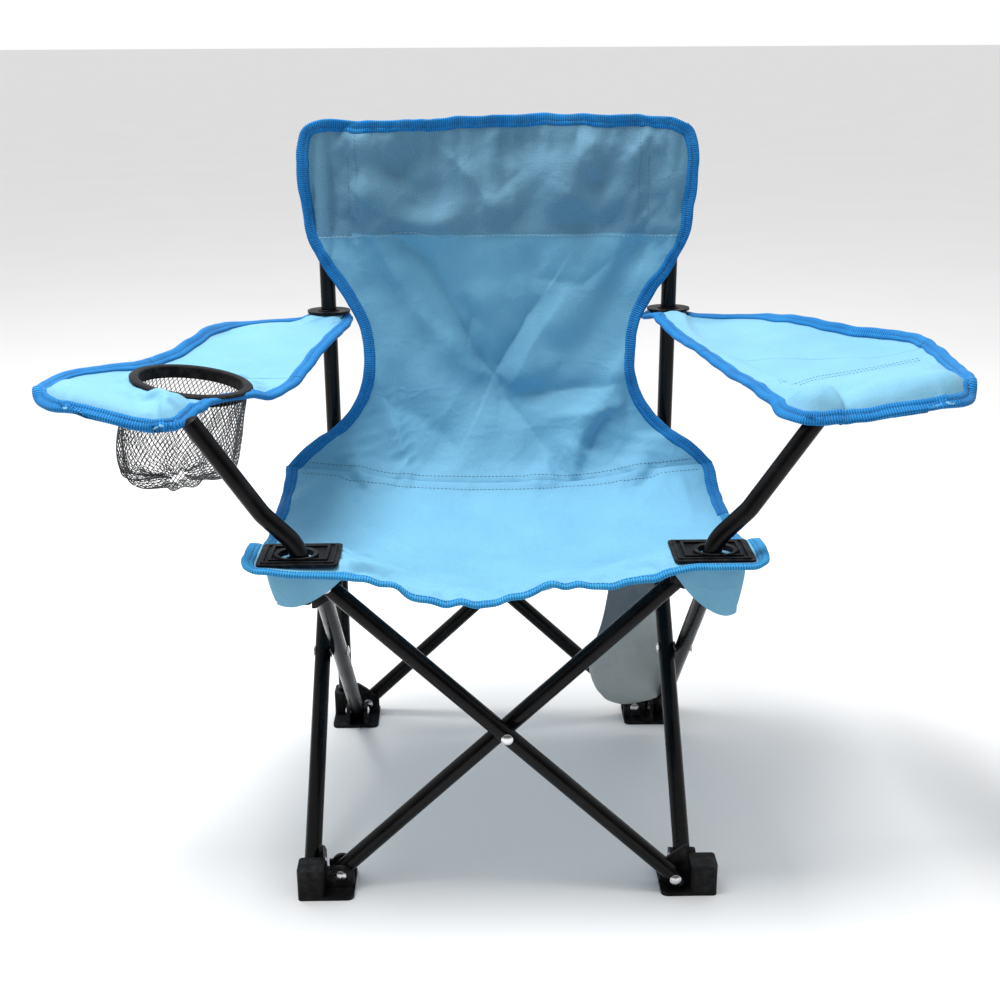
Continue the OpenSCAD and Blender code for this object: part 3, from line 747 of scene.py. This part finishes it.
def make_sling():
    """Returns the sling's fine grid, its normals and the rows of the seat's fold and of the back seam."""
    cell, times, columns = 7.5, 3, 51
    seat_rows, back_rows, fold_row = sling_rows(cell)
    coarse = sling_surface(seat_rows, back_rows, columns)
    seam_row = len(seat_rows) - 1
    x, y, z = coarse[..., 0], coarse[..., 1], coarse[..., 2]
    on_back = np.arange(len(coarse))[:, None] >= seam_row
    held = np.where(on_back, step(440, 452, z) * step(118, 136, np.abs(x)), 0)
    held = np.maximum(held, np.where(on_back, 0, step(108, 124, np.abs(x)) * step(-104, -118, y)))
    held = np.maximum(held, step(120, 150, np.abs(x)) * step(70, 92, y) * step(292, 275, z))
    held = np.maximum(held, np.where(on_back, step(534, 546, z), step(-146, -156, y)))
    settled = settle("sling_cloth", coarse, held, 22, -0.022, 0.3, 1.2, 6.0)
    p = sling_surface(split(seat_rows, times), split(back_rows, times), (columns - 1) * times + 1)
    p = p + finer(settled - coarse, times)
    seam, fold_at = seam_row * times, fold_row * times
    rows = np.arange(len(p))[:, None]
    n = grid_normals(p)
    x, y, z = p[..., 0], p[..., 1], p[..., 2]
    edge = np.minimum(1, (1 - np.abs(np.linspace(-1, 1, p.shape[1]))) * 14)
    calm_seam = np.clip(np.abs(rows - seam) / 6.0, 0.15, 1)
    back_lift = 2.3 * sum(fold(x, z, line, h, a, b) for line, h, a, b in BACK_FOLDS)
    back_lift = back_lift + random_folds(x, z, (-150, 150, 270, 545), 46, 1.2, 11)
    back_lift = back_lift + smooth_noise(x, z, 44, 5) * (1.3 + 1.5 * step(440, 470, z))
    seat_lift = sum(fold(x, y, line, h, a, b) for line, h, a, b in SEAT_FOLDS)
    seat_lift = seat_lift + random_folds(x, y, (-170, 170, -150, 90), 30, 0.8, 12)
    seat_lift = seat_lift + smooth_noise(x, y, 40, 6) * 0.5
    flat = step(100, 116, np.abs(x)) * step(-98, -112, y) * (rows < seam)
    lift = np.where(rows >= seam, back_lift, seat_lift) * edge * calm_seam * (1 - flat)
    ripple = 1.4 * smooth_noise(x, 0 * x, 15, 8) * step(-152, SEAT_FRONT_Y, y) * (1 - flat)
    band = np.where(rows > seam, step(BAND_Z - 0.8, BAND_Z + 0.6, z) * 0.5, 0)
    p = p + n * (lift + ripple + band)[..., None]
    wide = np.abs(p[..., 0])
    under_plate = step(112, 116, wide) * step(178, 174, wide) * step(-110, -115, p[..., 1])
    low = PLATE_BOTTOM - FABRIC_T / 2 - 0.15
    p[..., 2] -= np.where(rows < seam, np.maximum(p[..., 2] - low, 0) * under_plate, 0)
    from_post = np.abs(np.abs(p[..., 0]) - POST_X)
    round_post = POST_Y - np.sqrt(np.maximum(8.2 ** 2 - from_post ** 2, 0)) * step(8.3, 6.0, from_post) - 1.2
    in_front = np.maximum(p[..., 1] - round_post, 0) * step(16, 8.5, from_post)
    p[..., 1] -= np.where(rows > seam, in_front * step(425, 440, p[..., 2]), 0)
    return p, grid_normals(p), fold_at, seam


def rim_line(p, part):
    """Edge points of a grid and a point inside the cloth for each. part is a list of (row, column) pairs."""
    i, j = np.array(part).T
    rows, cols = p.shape[:2]
    inner_i = np.clip(i, 7, rows - 8)
    inner_j = np.clip(j, 7, cols - 8)
    return p[i, j], p[inner_i, inner_j]


def rounded_hole_keep(p, centre, radius):
    """Which cells of a grid stay round a hole, after its edge points are moved onto the circle."""
    flat = np.linalg.norm(p[..., :2] - np.asarray(centre)[:2], axis=2)
    inside = flat < radius
    cell = inside[:-1, :-1] | inside[:-1, 1:] | inside[1:, 1:] | inside[1:, :-1]
    touch = np.zeros(flat.shape, bool)
    for a in (slice(None, -1), slice(1, None)):
        for b in (slice(None, -1), slice(1, None)):
            touch[a, b] |= cell
    ring = touch & ~inside
    away = (p[..., :2] - np.asarray(centre)[:2]) / np.maximum(flat, 1e-6)[..., None]
    moved = np.asarray(centre)[:2] + away * radius
    p[..., :2] = np.where(ring[..., None], moved, p[..., :2])
    return ~cell


def build_sling():
    """The seat and back cloth with their binding and stitches, and a search tree of the cloth."""
    p, n, fold_row, seam = make_sling()
    uv = arc_uv(p)
    on_top = FABRIC_T / 2
    last_i, last_j = p.shape[0] - 1, p.shape[1] - 1
    seat_part = p[:fold_row + 1]
    keep = np.logical_and(*[rounded_hole_keep(seat_part, (side * (PLATE[0] + 1), PLATE[1] - 5), 9.5)
                            for side in (-1, 1)])
    tree = tree_of(p)
    front = panel("seat_cloth_front", seat_part, FABRIC_T, uv[:fold_row + 1], [SKY], n[:fold_row + 1], keep)
    rear = panel("seat_cloth_rear", p[fold_row:seam + 1], FABRIC_T, uv[fold_row:seam + 1], [SKY],
                 n[fold_row:seam + 1])
    back_p = p[seam:]
    # Faces above the band stitches take the darker copy of the cloth, which is painted shade on the doubled head
    # band.
    band = (back_p[:-1, :-1, 2] > BAND_Z).astype(int)
    back = panel("back_cloth", back_p, FABRIC_T, uv[seam:], [SKY, SKY_SHADED], n[seam:], face_material=band)

    left_front = [(i, 0) for i in range(fold_row, -1, -1)]
    front_row = [(0, j) for j in range(1, last_j)]
    right_front = [(i, last_j) for i in range(0, fold_row + 1)]
    tapes = {
        "seat_tape_front": ("seat_front", left_front + front_row + right_front),
        "seat_tape_rear_left": ("seat_rear", [(i, 0) for i in range(seam, fold_row - 1, -1)]),
        "seat_tape_rear_right": ("seat_rear", [(i, last_j) for i in range(fold_row, seam + 1)]),
        "back_tape": ("rear_left_leg", [(i, 0) for i in range(seam, last_i)]
                      + [(last_i, j) for j in range(last_j + 1)]
                      + [(i, last_j) for i in range(last_i - 1, seam - 1, -1)]),
    }
    made = {}
    for k, (name, (body, part)) in enumerate(tapes.items()):
        edge, inside = rim_line(p, part)
        # The seat's front edge takes the lighter copy of the tape, which is painted light.
        width, material = (TAPE_W * 0.8, TAPE_LIT) if name == "seat_tape_front" else (TAPE_W, TAPE)
        made[name] = (tape(name, edge, inside, tree, width, material, 20 + k), body)
        inner = edge + unit(inside - edge) * width * TAPE_VALLEY
        sew(made, name + "_stitches", body, inner, tree, THREAD_BLUE, on_top + TAPE_T * 0.8, 2.9, 0.7, 0.28)

    columns = np.linspace(-1, 1, 121)
    band_line = np.stack([(back_half(BAND_Z) - 9) * columns, back_depth(BAND_Z) + 0 * columns,
                          BAND_Z + 0 * columns], axis=1)
    sew(made, "band_stitches", "rear_left_leg", band_line, tree, THREAD_WHITE, on_top + 0.3)
    sew(made, "seam_stitches_back", "rear_left_leg", p[seam + 2, 5:-5], tree, THREAD_DARK, on_top)
    sew(made, "seam_stitches_seat", "seat_rear", p[seam - 3, 5:-5], tree, THREAD_DARK, on_top)
    sleeve_in, sleeve_out = 119, 127
    for side, word in ((-1, "left"), (1, "right")):
        lines = [[(side * sleeve_in, 140, 541), (side * sleeve_in, 140, 474)],
                 [(side * sleeve_out, 140, 520), (side * sleeve_out, 140, 468), (side * (sleeve_in + 1), 140, 468)]]
        for k, line in enumerate(lines):
            sew(made, f"sleeve_stitches_{word}_{k}", "rear_left_leg", even(line, 3.0), tree, THREAD_DARK, on_top,
                3.0, 0.7, 0.22)
    return (front, rear, back), made, tree


# ---- Post sleeves on the back -----------------------------------------------------------------------------

def post_sleeve(side, word, tree):
    """The sleeve sewn behind the back panel round a rear post, with flat flanges and soft gathers."""
    bend_r = 8.6
    path = [(-24, -8.0), (-19, -7.6), (-13, -5.5)]
    path += [(bend_r * math.cos(a), bend_r * math.sin(a))
             for a in np.linspace(math.radians(200), math.radians(-20), 15)]
    path += [(12, -5.0), (15.5, -7.4)]
    path = even([(a, b, 0) for a, b in path], 2.0)[:, :2]
    heights = np.linspace(0, 1, 34)
    low, high = 449.0, 546.0
    grid = np.zeros((len(heights), len(path), 3))
    for i, t in enumerate(heights):
        for j, (a, b) in enumerate(path):
            bottom = low + 14 * (1 - (a + 24) / 40)
            z = bottom + (high - bottom) * t
            limit = float(back_half(z)) - POST_X - 2.0
            swell = 0.8 * math.sin(z / 7.0 + a / 3.0) * step(-9, 6, b)
            x = side * (POST_X + min(a, limit))
            hit = tree.ray_cast(Vector((x, POST_Y - 60, z)), Vector((0, 1, 0)))[0]
            cloth_y = hit[1] + FABRIC_T + 0.5 if hit is not None else POST_Y + b
            grid[i, j] = (x, max(POST_Y + b + swell, cloth_y), z)
    if side < 0:
        grid = grid[:, ::-1]
    grid = grid[:, ::-1]
    # The sleeve takes the darker copy of the cloth, which is painted shade.
    return panel(f"back_sleeve_{word}", grid, FABRIC_T, arc_uv(grid), [SKY_SHADED])


# ---- Armrests ---------------------------------------------------------------------------------------------

ARM_REAR, ARM_FRONT = 163.0, -158.5
CUP_SLOPE = math.tan(math.radians(8.6))
# Each armrest: its outline and edge heights by y, then its pocket (height of the bulge and of its front wall, the
# x of its dent, its length, its rear line by x) and how far its outer edge curls up.
ARM_SHAPES = {
    "left": {
        "inner": curve((ARM_FRONT, 236), (-156, 224), (-150, 218), (-140, 216), (-125, 212), (-100, 203), (-85, 194),
                       (-66, 178), (-50, 167), (-28, 158), (10, 150), (50, 142), (90, 134), (125, 128), (148, 127),
                       (158, 132), (ARM_REAR, 140)),
        "outer": curve((ARM_FRONT, 290), (-156, 303), (-150, 313), (-140, 320), (-120, 326), (-95, 327), (-74, 320),
                       (-52, 303), (-34, 285), (4, 264), (48, 246), (90, 236), (110, 226), (126, 206), (140, 176),
                       (150, 166), (158, 162), (ARM_REAR, 156)),
        "inner_z": curve((ARM_FRONT, 372), (-125, 371), (-100, 371), (-66, 367), (-28, 369.5), (10, 376), (50, 381),
                         (90, 385), (125, 387), (ARM_REAR, 387)),
        "outer_z": curve((ARM_FRONT, 387), (-125, 390), (-95, 389), (-52, 386), (4, 384), (48, 386), (90, 388),
                         (125, 388), (ARM_REAR, 387)),
        "bulge": 5.5, "wall": 5.0, "dent": 243, "rise": 10,
        "pocket": curve((200, -108), (228, -104), (262, -98), (330, -84)),
        "curl": curve((-150, 0), (-100, 1.5), (-40, 3.5), (10, 5.5), (100, 5.5), (135, 1), (ARM_REAR, 0)),
    },
    "right": {
        "inner": curve((ARM_FRONT, 212), (-156, 203), (-150, 196), (-140, 190), (-128, 187), (-104, 180), (-72, 171),
                       (-29, 158), (22, 144), (85, 132), (125, 126), (148, 125), (158, 130), (ARM_REAR, 140)),
        "outer": curve((ARM_FRONT, 293), (-156, 306), (-150, 316), (-140, 322), (-120, 328), (-88, 331), (-40, 333),
                       (-12, 331), (14, 324), (34, 310), (48, 291), (72, 269), (97, 247), (122, 222), (140, 190),
                       (150, 172), (158, 164), (ARM_REAR, 156)),
        "inner_z": curve((ARM_FRONT, 370), (-134, 371.5), (-104, 373), (-72, 374), (-29, 377), (22, 381), (85, 385),
                         (125, 386.5), (ARM_REAR, 387)),
        "outer_z": curve((ARM_FRONT, 385), (-120, 388), (20, 388), (125, 388), (ARM_REAR, 387)),
        "bulge": 9.5, "wall": 7.0, "dent": 229, "rise": 62,
        "pocket": curve((187, -103), (222, -75), (268, -52), (325, -38)),
        "curl": curve((-150, 0), (-110, 3), (-60, 5.5), (100, 5.5), (135, 1.5), (ARM_REAR, 0)),
    },
}


def arm_surface(rows, columns, side, shape):
    """The armrest's middle surface without its pocket, from rear to front and from inner to outer edge."""
    y = np.asarray(rows, float)[:, None]
    across = np.linspace(0, 1, columns)[None, :]
    x = shape["inner"](y) + (shape["outer"](y) - shape["inner"](y)) * across
    z = shape["inner_z"](y) + (shape["outer_z"](y) - shape["inner_z"](y)) * across
    if side < 0:
        from_ring = np.hypot(x + CUP[0], y - CUP[1])
        ring_z = RING_Z + CUP_SLOPE * (x + CUP[0])
        z = z + (ring_z - z) * step(78, 50, from_ring)
    return np.stack([side * x, np.broadcast_to(y, x.shape), z], axis=2)


def rim_distance(p):
    """How far each grid point lies from the outline, seen from above."""
    rim = np.concatenate([p[0], p[1:, -1], p[-1, ::-1], p[::-1, 0]])[:, :2]
    flat = p[..., :2].reshape(-1, 2)
    return np.min(np.linalg.norm(flat[:, None] - rim[None], axis=2), axis=1).reshape(p.shape[:2])


def arm_rows(cell):
    """Row positions of an armrest from rear to front, and the number of the row on the fold line."""
    rear = np.linspace(ARM_REAR, ARM_FOLD_Y, round((ARM_REAR - ARM_FOLD_Y) / cell) + 1)
    front = np.linspace(ARM_FOLD_Y, ARM_FRONT, round((ARM_FOLD_Y - ARM_FRONT) / cell) + 1)
    return np.concatenate([rear, front[1:]]), len(rear) - 1


def build_armrest(side, word, tip):
    """One armrest: two fabric panels that meet at the fold line, binding, stitch lines and the front pocket."""
    cell, times, columns = 6.5, 3, 21
    rows, fold_row = arm_rows(cell)
    shape = ARM_SHAPES[word]
    coarse = arm_surface(rows, columns, side, shape)
    x, y = np.abs(coarse[..., 0]), coarse[..., 1]
    held = np.maximum(step(18, 12, np.hypot(x - POST_X, y - POST_Y)),
                      step(26, 12, np.hypot(x - abs(tip[0]), y - tip[1])))
    if side < 0:
        held = np.maximum(held, step(52, 44, np.hypot(x + CUP[0], y - CUP[1])))
    settled = settle(f"arm_cloth_{word}", coarse, held, 16, -0.02, 0.25, 1.2, 5.0)
    p = arm_surface(split(rows, times), (columns - 1) * times + 1, side, shape) + finer(settled - coarse, times)
    fold_at = fold_row * times
    rows_y = p[:, 0, 1]
    n = grid_normals(p)
    n = n if n[fold_at, 10, 2] > 0 else -n
    x, y = np.abs(p[..., 0]), p[..., 1]
    rim_far = rim_distance(p)
    rim = step(0, 14, rim_far)
    lift = (smooth_noise(x, y, 46, 31 + side) * 1.2 + random_folds(x, y, (150, 310, -140, 130), 34, 1.0, 41 + side))
    from_ring = np.hypot(x + CUP[0], y - CUP[1])
    ring_calm = step(46, 60, from_ring) if side < 0 else 1.0
    eyelet_calm = step(14, 26, np.hypot(x - POST_X, y - POST_Y))
    wave = 1.3 * np.sin(y / 17.0 + 2 * side) * (1 - rim) * step(-150, -120, y)
    p = p + n * (lift * rim * ring_calm * eyelet_calm + wave * ring_calm * eyelet_calm)[..., None]
    outer_far = np.min(np.hypot(x[..., None] - x[:, -1], y[..., None] - y[:, -1]), axis=2)
    curl = shape["curl"](y) * np.maximum(1 - outer_far / 12, 0) ** 1.5
    line_y = shape["pocket"](x)
    pocket = step(line_y, line_y - shape["rise"], y)
    ring_far = step(45.5, 52, from_ring) if side < 0 else 1.0
    front_rim = np.concatenate([p[rows_y < -128, 0], p[rows_y < -140, -1], p[-1]])[:, :2]
    front_far = np.min(np.linalg.norm(p[..., None, :2] - front_rim, axis=3), axis=2)
    near_front, off_rim = step(-118, -134, y), step(0, 11, front_far)
    wall = shape["wall"] * off_rim * near_front * ring_far
    p[..., 2] += curl + wall - 2.0 * near_front * (1 - off_rim)
    flat_p = p.copy()
    dent = 1 - 0.4 * np.exp(-((x - shape["dent"] - 0.3 * (y + 150)) / 10) ** 2)
    dimple = 1 + 0.10 * smooth_noise(x, y, 34, 51 + side)
    from_tape = np.maximum(rim_far - TAPE_W * 0.72, 0)
    puff = shape["bulge"] * (1 - np.exp(-(from_tape / 7.5) ** 1.4)) * pocket * dent * dimple * ring_far
    p[..., 2] += puff
    above = 0.3 * rim
    below = 0.3 * rim + (puff + wall * step(6, 14, rim_far)) * 0.97
    uv = arc_uv(p)
    n = grid_normals(p)
    n = n if n[fold_at, 10, 2] > 0 else -n
    below = below * n[..., 2]
    if side > 0:
        p, n, above, below, uv, flat_p = (grid[:, ::-1] for grid in (p, n, above, below, uv, flat_p))
    keep = rounded_hole_keep(p, (side * POST_X, POST_Y), 9.6)
    if side < 0:
        keep &= rounded_hole_keep(p, (CUP[0] + 0.4, CUP[1]), 41.2)
    parts = []
    for name, a, b in (("rear", 0, fold_at), ("front", fold_at, len(p) - 1)):
        rows_part = slice(a, b + 1)
        parts.append(panel(f"armrest_cloth_{word}_{name}", p[rows_part], FABRIC_T, uv[rows_part], [SKY_ARM],
                           n[rows_part], keep[a:b], above[rows_part], below[rows_part]))
    tree, flat_tree = tree_of(p), tree_of(flat_p)
    last_i, last_j = p.shape[0] - 1, p.shape[1] - 1

    made = {}
    inner_j, outer_j = (0, last_j) if side < 0 else (last_j, 0)
    forward = [(i, outer_j) for i in range(fold_at, last_i + 1)]
    back_in = [(i, inner_j) for i in range(last_i, fold_at - 1, -1)]
    cross = range(outer_j, inner_j, 1 if inner_j > outer_j else -1)
    front_part = forward + [(last_i, j) for j in cross][1:] + back_in
    rear_part = [(i, inner_j) for i in range(fold_at, -1, -1)]
    rear_part += [(0, j) for j in range(inner_j, outer_j, -1 if inner_j > outer_j else 1)][1:]
    rear_part += [(i, outer_j) for i in range(0, fold_at + 1)]
    for name, part in (("front", front_part), ("rear", rear_part)):
        edge, inside = rim_line(flat_p, part)
        full, body = f"armrest_tape_{word}_{name}", f"armrest_{word}_{name}"
        made[full] = (tape(full, edge, inside, flat_tree, TAPE_W, TAPE, 60 + 5 * side, lift=0.75), body)
        inner = edge + unit(inside - edge) * TAPE_W * TAPE_VALLEY
        sew(made, full + "_stitches", body, inner, flat_tree, THREAD_BLUE, FABRIC_T / 2 + TAPE_T * 0.75 + 0.75,
            2.9, 0.7, 0.28)
    if side > 0:
        span = np.linspace(195, 313, 60)
        for k, gap in enumerate((0, 5.5)):
            line = np.stack([span, shape["pocket"](span) + gap, 384 + 0 * span], axis=1)
            sew(made, f"pocket_stitches_{word}_{k}", f"armrest_{word}_front", line, tree, THREAD_DARK,
                FABRIC_T / 2 + 0.3, 3.2, 0.7, 0.24)
    return parts, made


# ---- Cup pouch --------------------------------------------------------------------------------------------

def build_cup_pouch():
    """Open netting: a grid of slanting cords, gathered at the bottom and creased into soft folds."""
    around, down = 76, 30
    radius = 39.9
    top = RING_Z - 1.4
    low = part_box("cup_pouch")[0].z / MM + 1.5
    out_by = curve((0, 0), (0.2, 2.2), (0.45, 4.2), (0.7, 2.4), (0.84, -1.5), (0.93, -11), (1.0, -31))
    down_by = curve((0, 0), (0.2, 0.24), (0.45, 0.54), (0.7, 0.84), (0.84, 0.955), (0.93, 0.99), (1.0, 1.0))
    swing = curve((0, 0), (0.3, 9), (0.6, 14.5), (0.85, 15.5), (1.0, 15))
    verts = []
    for i in range(down + 1):
        t = i / down
        for j in range(around):
            a = 2 * math.pi * (j + 0.5 * (i % 2)) / around
            crease = 0.30 * t * math.exp(-((a - 4.62) / 0.16) ** 2) + 0.16 * t * math.exp(-((a - 5.5) / 0.2) ** 2)
            pleat = 1 - crease + t * (0.035 * math.sin(5 * a + 1.2) + 0.025 * math.sin(9 * a + 4 * t)
                                      + 0.022 * math.sin(16 * a))
            r = (radius + float(out_by(t))) * pleat
            x, y = r * math.cos(a), r * math.sin(a) * (1 - 0.06 * t)
            drop = (top - low - 3) * float(down_by(t)) + t * (2.6 * math.sin(3 * a + 0.5) + 1.2 * math.sin(11 * a))
            z = top - drop + (1 - t) * -CUP_SLOPE * x
            verts.append((CUP[0] + x - float(swing(t)), CUP[1] + y, max(z, low)))
    edges = []
    for i in range(down):
        for j in range(around):
            here, below = i * around + j, (i + 1) * around
            edges += [(here, below + (j + i % 2 - k) % around) for k in (0, 1)]
    edges += [(j, (j + 1) % around) for j in range(around)]
    return cord_mesh("cup_net", np.array(verts), edges, 0.21, NET)


def cord_mesh(name, points, edges, radius, material):
    """Square cords along edges, as one mesh."""
    a, b = points[[e[0] for e in edges]], points[[e[1] for e in edges]]
    along = unit(b - a)
    side = unit(np.cross(along, np.array([0.31, 0.17, 0.93])))
    up = np.cross(side, along)
    verts = np.stack([e + (side * s + up * t) * radius for e in (a - along * radius, b + along * radius)
                      for s, t in ((-1, -1), (1, -1), (1, 1), (-1, 1))], axis=1)
    base = np.arange(len(edges))[:, None] * 8
    block = np.array([(0, 1, 5, 4), (1, 2, 6, 5), (2, 3, 7, 6), (3, 0, 4, 7), (3, 2, 1, 0), (4, 5, 6, 7)])
    faces = (base[:, :, None] + block[None]).reshape(-1, 4)
    return add_mesh(name, verts.reshape(-1, 3), faces, None, [material])


# ---- Pouches ----------------------------------------------------------------------------------------------

def build_corner_pouch(side, word, inner_x, bottom):
    """The pouch under a front corner of the seat, hanging round the hub in a soft triangle."""
    out_x, front_y, rear_y = 166.5, -162.5, -118.0
    corners = ((inner_x, front_y + 3), (inner_x + 12, front_y), (out_x - 8, front_y),
               (out_x - 2, front_y + 2.5), (out_x, front_y + 9), (out_x, rear_y))
    plan = even([(side * x, y, 0) for x, y in corners], 2.0)
    rows = 24
    run = np.linspace(0, 1, len(plan))
    depth = curve((0, 4), (0.12, 16), (0.30, 27), (0.42, 30), (0.55, 26), (0.75, 14), (1.0, 5))(run)
    depth = depth * (266 - bottom) / 30
    grid = np.zeros((rows, len(plan), 3))
    for i in range(rows):
        t = i / (rows - 1)
        z = 266.5 - depth * t
        ripple = 1.1 * np.sin(run * 19 + 2 * t) * t
        grid[i] = plan
        grid[i, :, 0] += -side * 2.0 * t * t * (run > 0.5) * 2
        grid[i, :, 1] += ripple * (run < 0.6) * -1 + 2.2 * t * t
        grid[i, :, 2] = z
    if side > 0:
        grid = grid[:, ::-1]
    n = grid_normals(grid)
    if n[0, len(plan) // 4, 1] > 0:
        grid = grid[::-1]
    return panel(f"corner_pouch_cloth_{word}", grid, FABRIC_T, arc_uv(grid), [SKY])


def build_storage_pouch():
    """The white storage pouch: a flat bag folded from one strip, hanging in soft creases."""
    low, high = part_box("storage_pouch")
    mid_y = (low.y + high.y) / 2 / MM
    bottom, top = low.z / MM - 9, high.z / MM
    left = curve((bottom, 110), (bottom + 2, 103), (42, 91), (54, 84), (67, 80.5), (90, 84), (110, 90), (143, 96),
                 (200, 100), (top, 104))
    right = curve((bottom, 118), (bottom + 2, 128), (38, 143), (50, 147), (127, 146), (170, 143), (top, 136))
    around, rows = 72, 90
    grid = np.zeros((rows, around + 1, 3))
    for i in range(rows):
        t = i / (rows - 1)
        z = bottom + (top - bottom) * t
        l, r = float(left(z)), float(right(z))
        fat = 4.4 * min(1, t * 9 + 0.08) * (1 - 0.55 * t)
        for j in range(around + 1):
            a = 2 * math.pi * j / around
            c, s = math.cos(a), math.sin(a)
            x = (l + r) / 2 + (r - l) / 2 * c
            crease = 1.3 * smooth_noise(np.array(x), np.array(z * 0.7), 22, 71) * abs(s)
            grid[i, j] = (x, mid_y + fat * s + float(crease) * (1 - 0.3 * t), z)
    grid[..., 1] = np.clip(grid[..., 1], low.y / MM - 4, high.y / MM + 4)
    weld = numbered(grid)
    weld[:, -1] = weld[:, 0]
    piece = add_mesh("storage_bag", grid.reshape(-1, 3), grid_quads(weld), arc_uv(grid).reshape(-1, 2), [COATED_SHADED])
    shell = piece.modifiers.new("cloth thickness", "SOLIDIFY")
    shell.thickness = 0.6 * MM
    shell.offset = 0
    mesh = bpy.data.meshes.new_from_object(piece.evaluated_get(bpy.context.evaluated_depsgraph_get()))
    piece.modifiers.clear()
    piece.data = mesh
    return piece


# ---- Put together -----------------------------------------------------------------------------------------


def add_camera():
    """A 50 mm lens a little above the armrests, looking down at the seat."""
    pitch, yaw, roll = math.radians(18.633), math.radians(-0.855), math.radians(-0.288)
    ahead = Vector((-math.sin(yaw) * math.cos(pitch), math.cos(yaw) * math.cos(pitch), -math.sin(pitch)))
    right = Vector((math.cos(yaw), math.sin(yaw), 0))
    up = right.cross(ahead)
    right, up = (right * math.cos(roll) + up * math.sin(roll), up * math.cos(roll) - right * math.sin(roll))
    data = bpy.data.cameras.new("camera")
    data.lens, data.sensor_width = 49.994, 36.0
    camera = bpy.data.objects.new("camera", data)
    camera.matrix_world = Matrix.Translation(Vector((-17.75, -1053.65, 619.03)) * MM) @ \
        Matrix((right, up, -ahead)).transposed().to_4x4()
    bpy.context.scene.collection.objects.link(camera)
    bpy.context.scene.camera = camera


def add_key_light():
    """A large soft light above and to the left."""
    data = bpy.data.lights.new("key", "AREA")
    data.shape, data.size, data.size_y, data.energy = "RECTANGLE", 0.9, 0.8, 42
    light = bpy.data.objects.new("key", data)
    light.location = (-0.45, 0.0, 2.0)
    light.rotation_euler = (Vector((0, 0, 0.35)) - light.location).to_track_quat("-Z", "Y").to_euler()
    bpy.context.scene.collection.objects.link(light)


def add_stage():
    """A pale floor and a surround that is bright above and behind and dim low in front."""
    wide = 60000
    floor = add_mesh("floor", [(-wide, -wide, 0), (wide, -wide, 0), (wide, wide, 0), (-wide, wide, 0)],
                     [(0, 1, 2, 3)])
    s = Shader("floor_paper", Roughness=0.95, Specular_IOR_Level=0.1)
    mottle = s.noise(s.space("Object", (1, 1, 1)), 3.0)
    s.link(s.mix(mottle, rgb(0.83, 0.83, 0.83), rgb(0.87, 0.87, 0.87)), "Base Color")
    floor.data.materials.append(s.material)
    world = bpy.data.worlds.new("studio")
    world.use_nodes = True
    nodes, links = world.node_tree.nodes, world.node_tree.links
    where = nodes.new("ShaderNodeTexCoord")
    apart = nodes.new("ShaderNodeSeparateXYZ")
    links.new(where.outputs["Generated"], apart.inputs[0])
    total = nodes.new("ShaderNodeMath")
    total.operation = "MULTIPLY_ADD"
    links.new(apart.outputs["Z"], total.inputs[0])
    total.inputs[1].default_value = 0.8
    links.new(apart.outputs["Y"], total.inputs[2])
    ramp = nodes.new("ShaderNodeMapRange")
    ramp.interpolation_type = "SMOOTHSTEP"
    links.new(total.outputs[0], ramp.inputs["Value"])
    for name, value in (("From Min", -0.65), ("From Max", 0.45), ("To Min", 0.05), ("To Max", 1.0)):
        ramp.inputs[name].default_value = value
    links.new(ramp.outputs[0], nodes["Background"].inputs["Strength"])
    nodes["Background"].inputs["Color"].default_value = (1.0, 1.0, 1.0, 1.0)
    bpy.context.scene.world = world
    bpy.context.scene.view_settings.view_transform = "Standard"
    add_key_light()


def build():
    """Makes every visible piece, says what each one rides on and hides the CAD node it replaces."""
    add_camera()
    dress_cad_nodes()
    (front, rear, back), trims, sling_tree = build_sling()
    for piece, body, cad in ((front, "seat_front", "seat_front"), (rear, "seat_rear", "seat_rear"),
                             (back, "rear_left_leg", "back_panel")):
        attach(piece, body)
        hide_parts(cad)
    sheets = [(front, (2 * SEAT_HALF, SEAT_FOLD_Y - SEAT_FRONT_Y + 14)),
              (rear, (2 * SEAT_HALF, SEAM_Y - SEAT_FOLD_Y)),
              (back, (0.330 / MM, BACK_TOP - SEAM_Z + 16))]
    sleeves = []
    for side, word in ((-1, "left"), (1, "right")):
        sleeve = post_sleeve(side, word, sling_tree)
        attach(sleeve, "rear_left_leg")
        sleeves.append(sleeve)
        parts, trim = build_armrest(side, word, node_centre(f"arm_post_cap_{word}"))
        for piece, part in zip(parts, ("rear", "front")):
            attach(piece, f"armrest_{word}_{part}")
            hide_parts(f"armrest_{word}_{part}")
        trims.update(trim)
        inner_x, bottom = (112, 240) if side < 0 else (117, 230)
        pouch = build_corner_pouch(side, word, inner_x, bottom)
        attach(pouch, f"front_{word}_hub")
        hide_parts(f"corner_pouch_{word}")
    net = build_cup_pouch()
    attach(net, "armrest_left_front")
    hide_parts("cup_pouch")
    bag = build_storage_pouch()
    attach(bag, "rear_right_leg")
    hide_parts("storage_pouch")
    for name, (piece, body) in trims.items():
        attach(piece, body)
    for piece, (w, l) in sheets:
        body = body_of(piece)[0]
    sling_trims = [t for t, b in trims.values() if b in ("seat_front", "seat_rear", "rear_left_leg")]
    for piece in [front, rear, back, *sleeves, *sling_trims]:
        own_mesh(piece)


add_stage()
build()
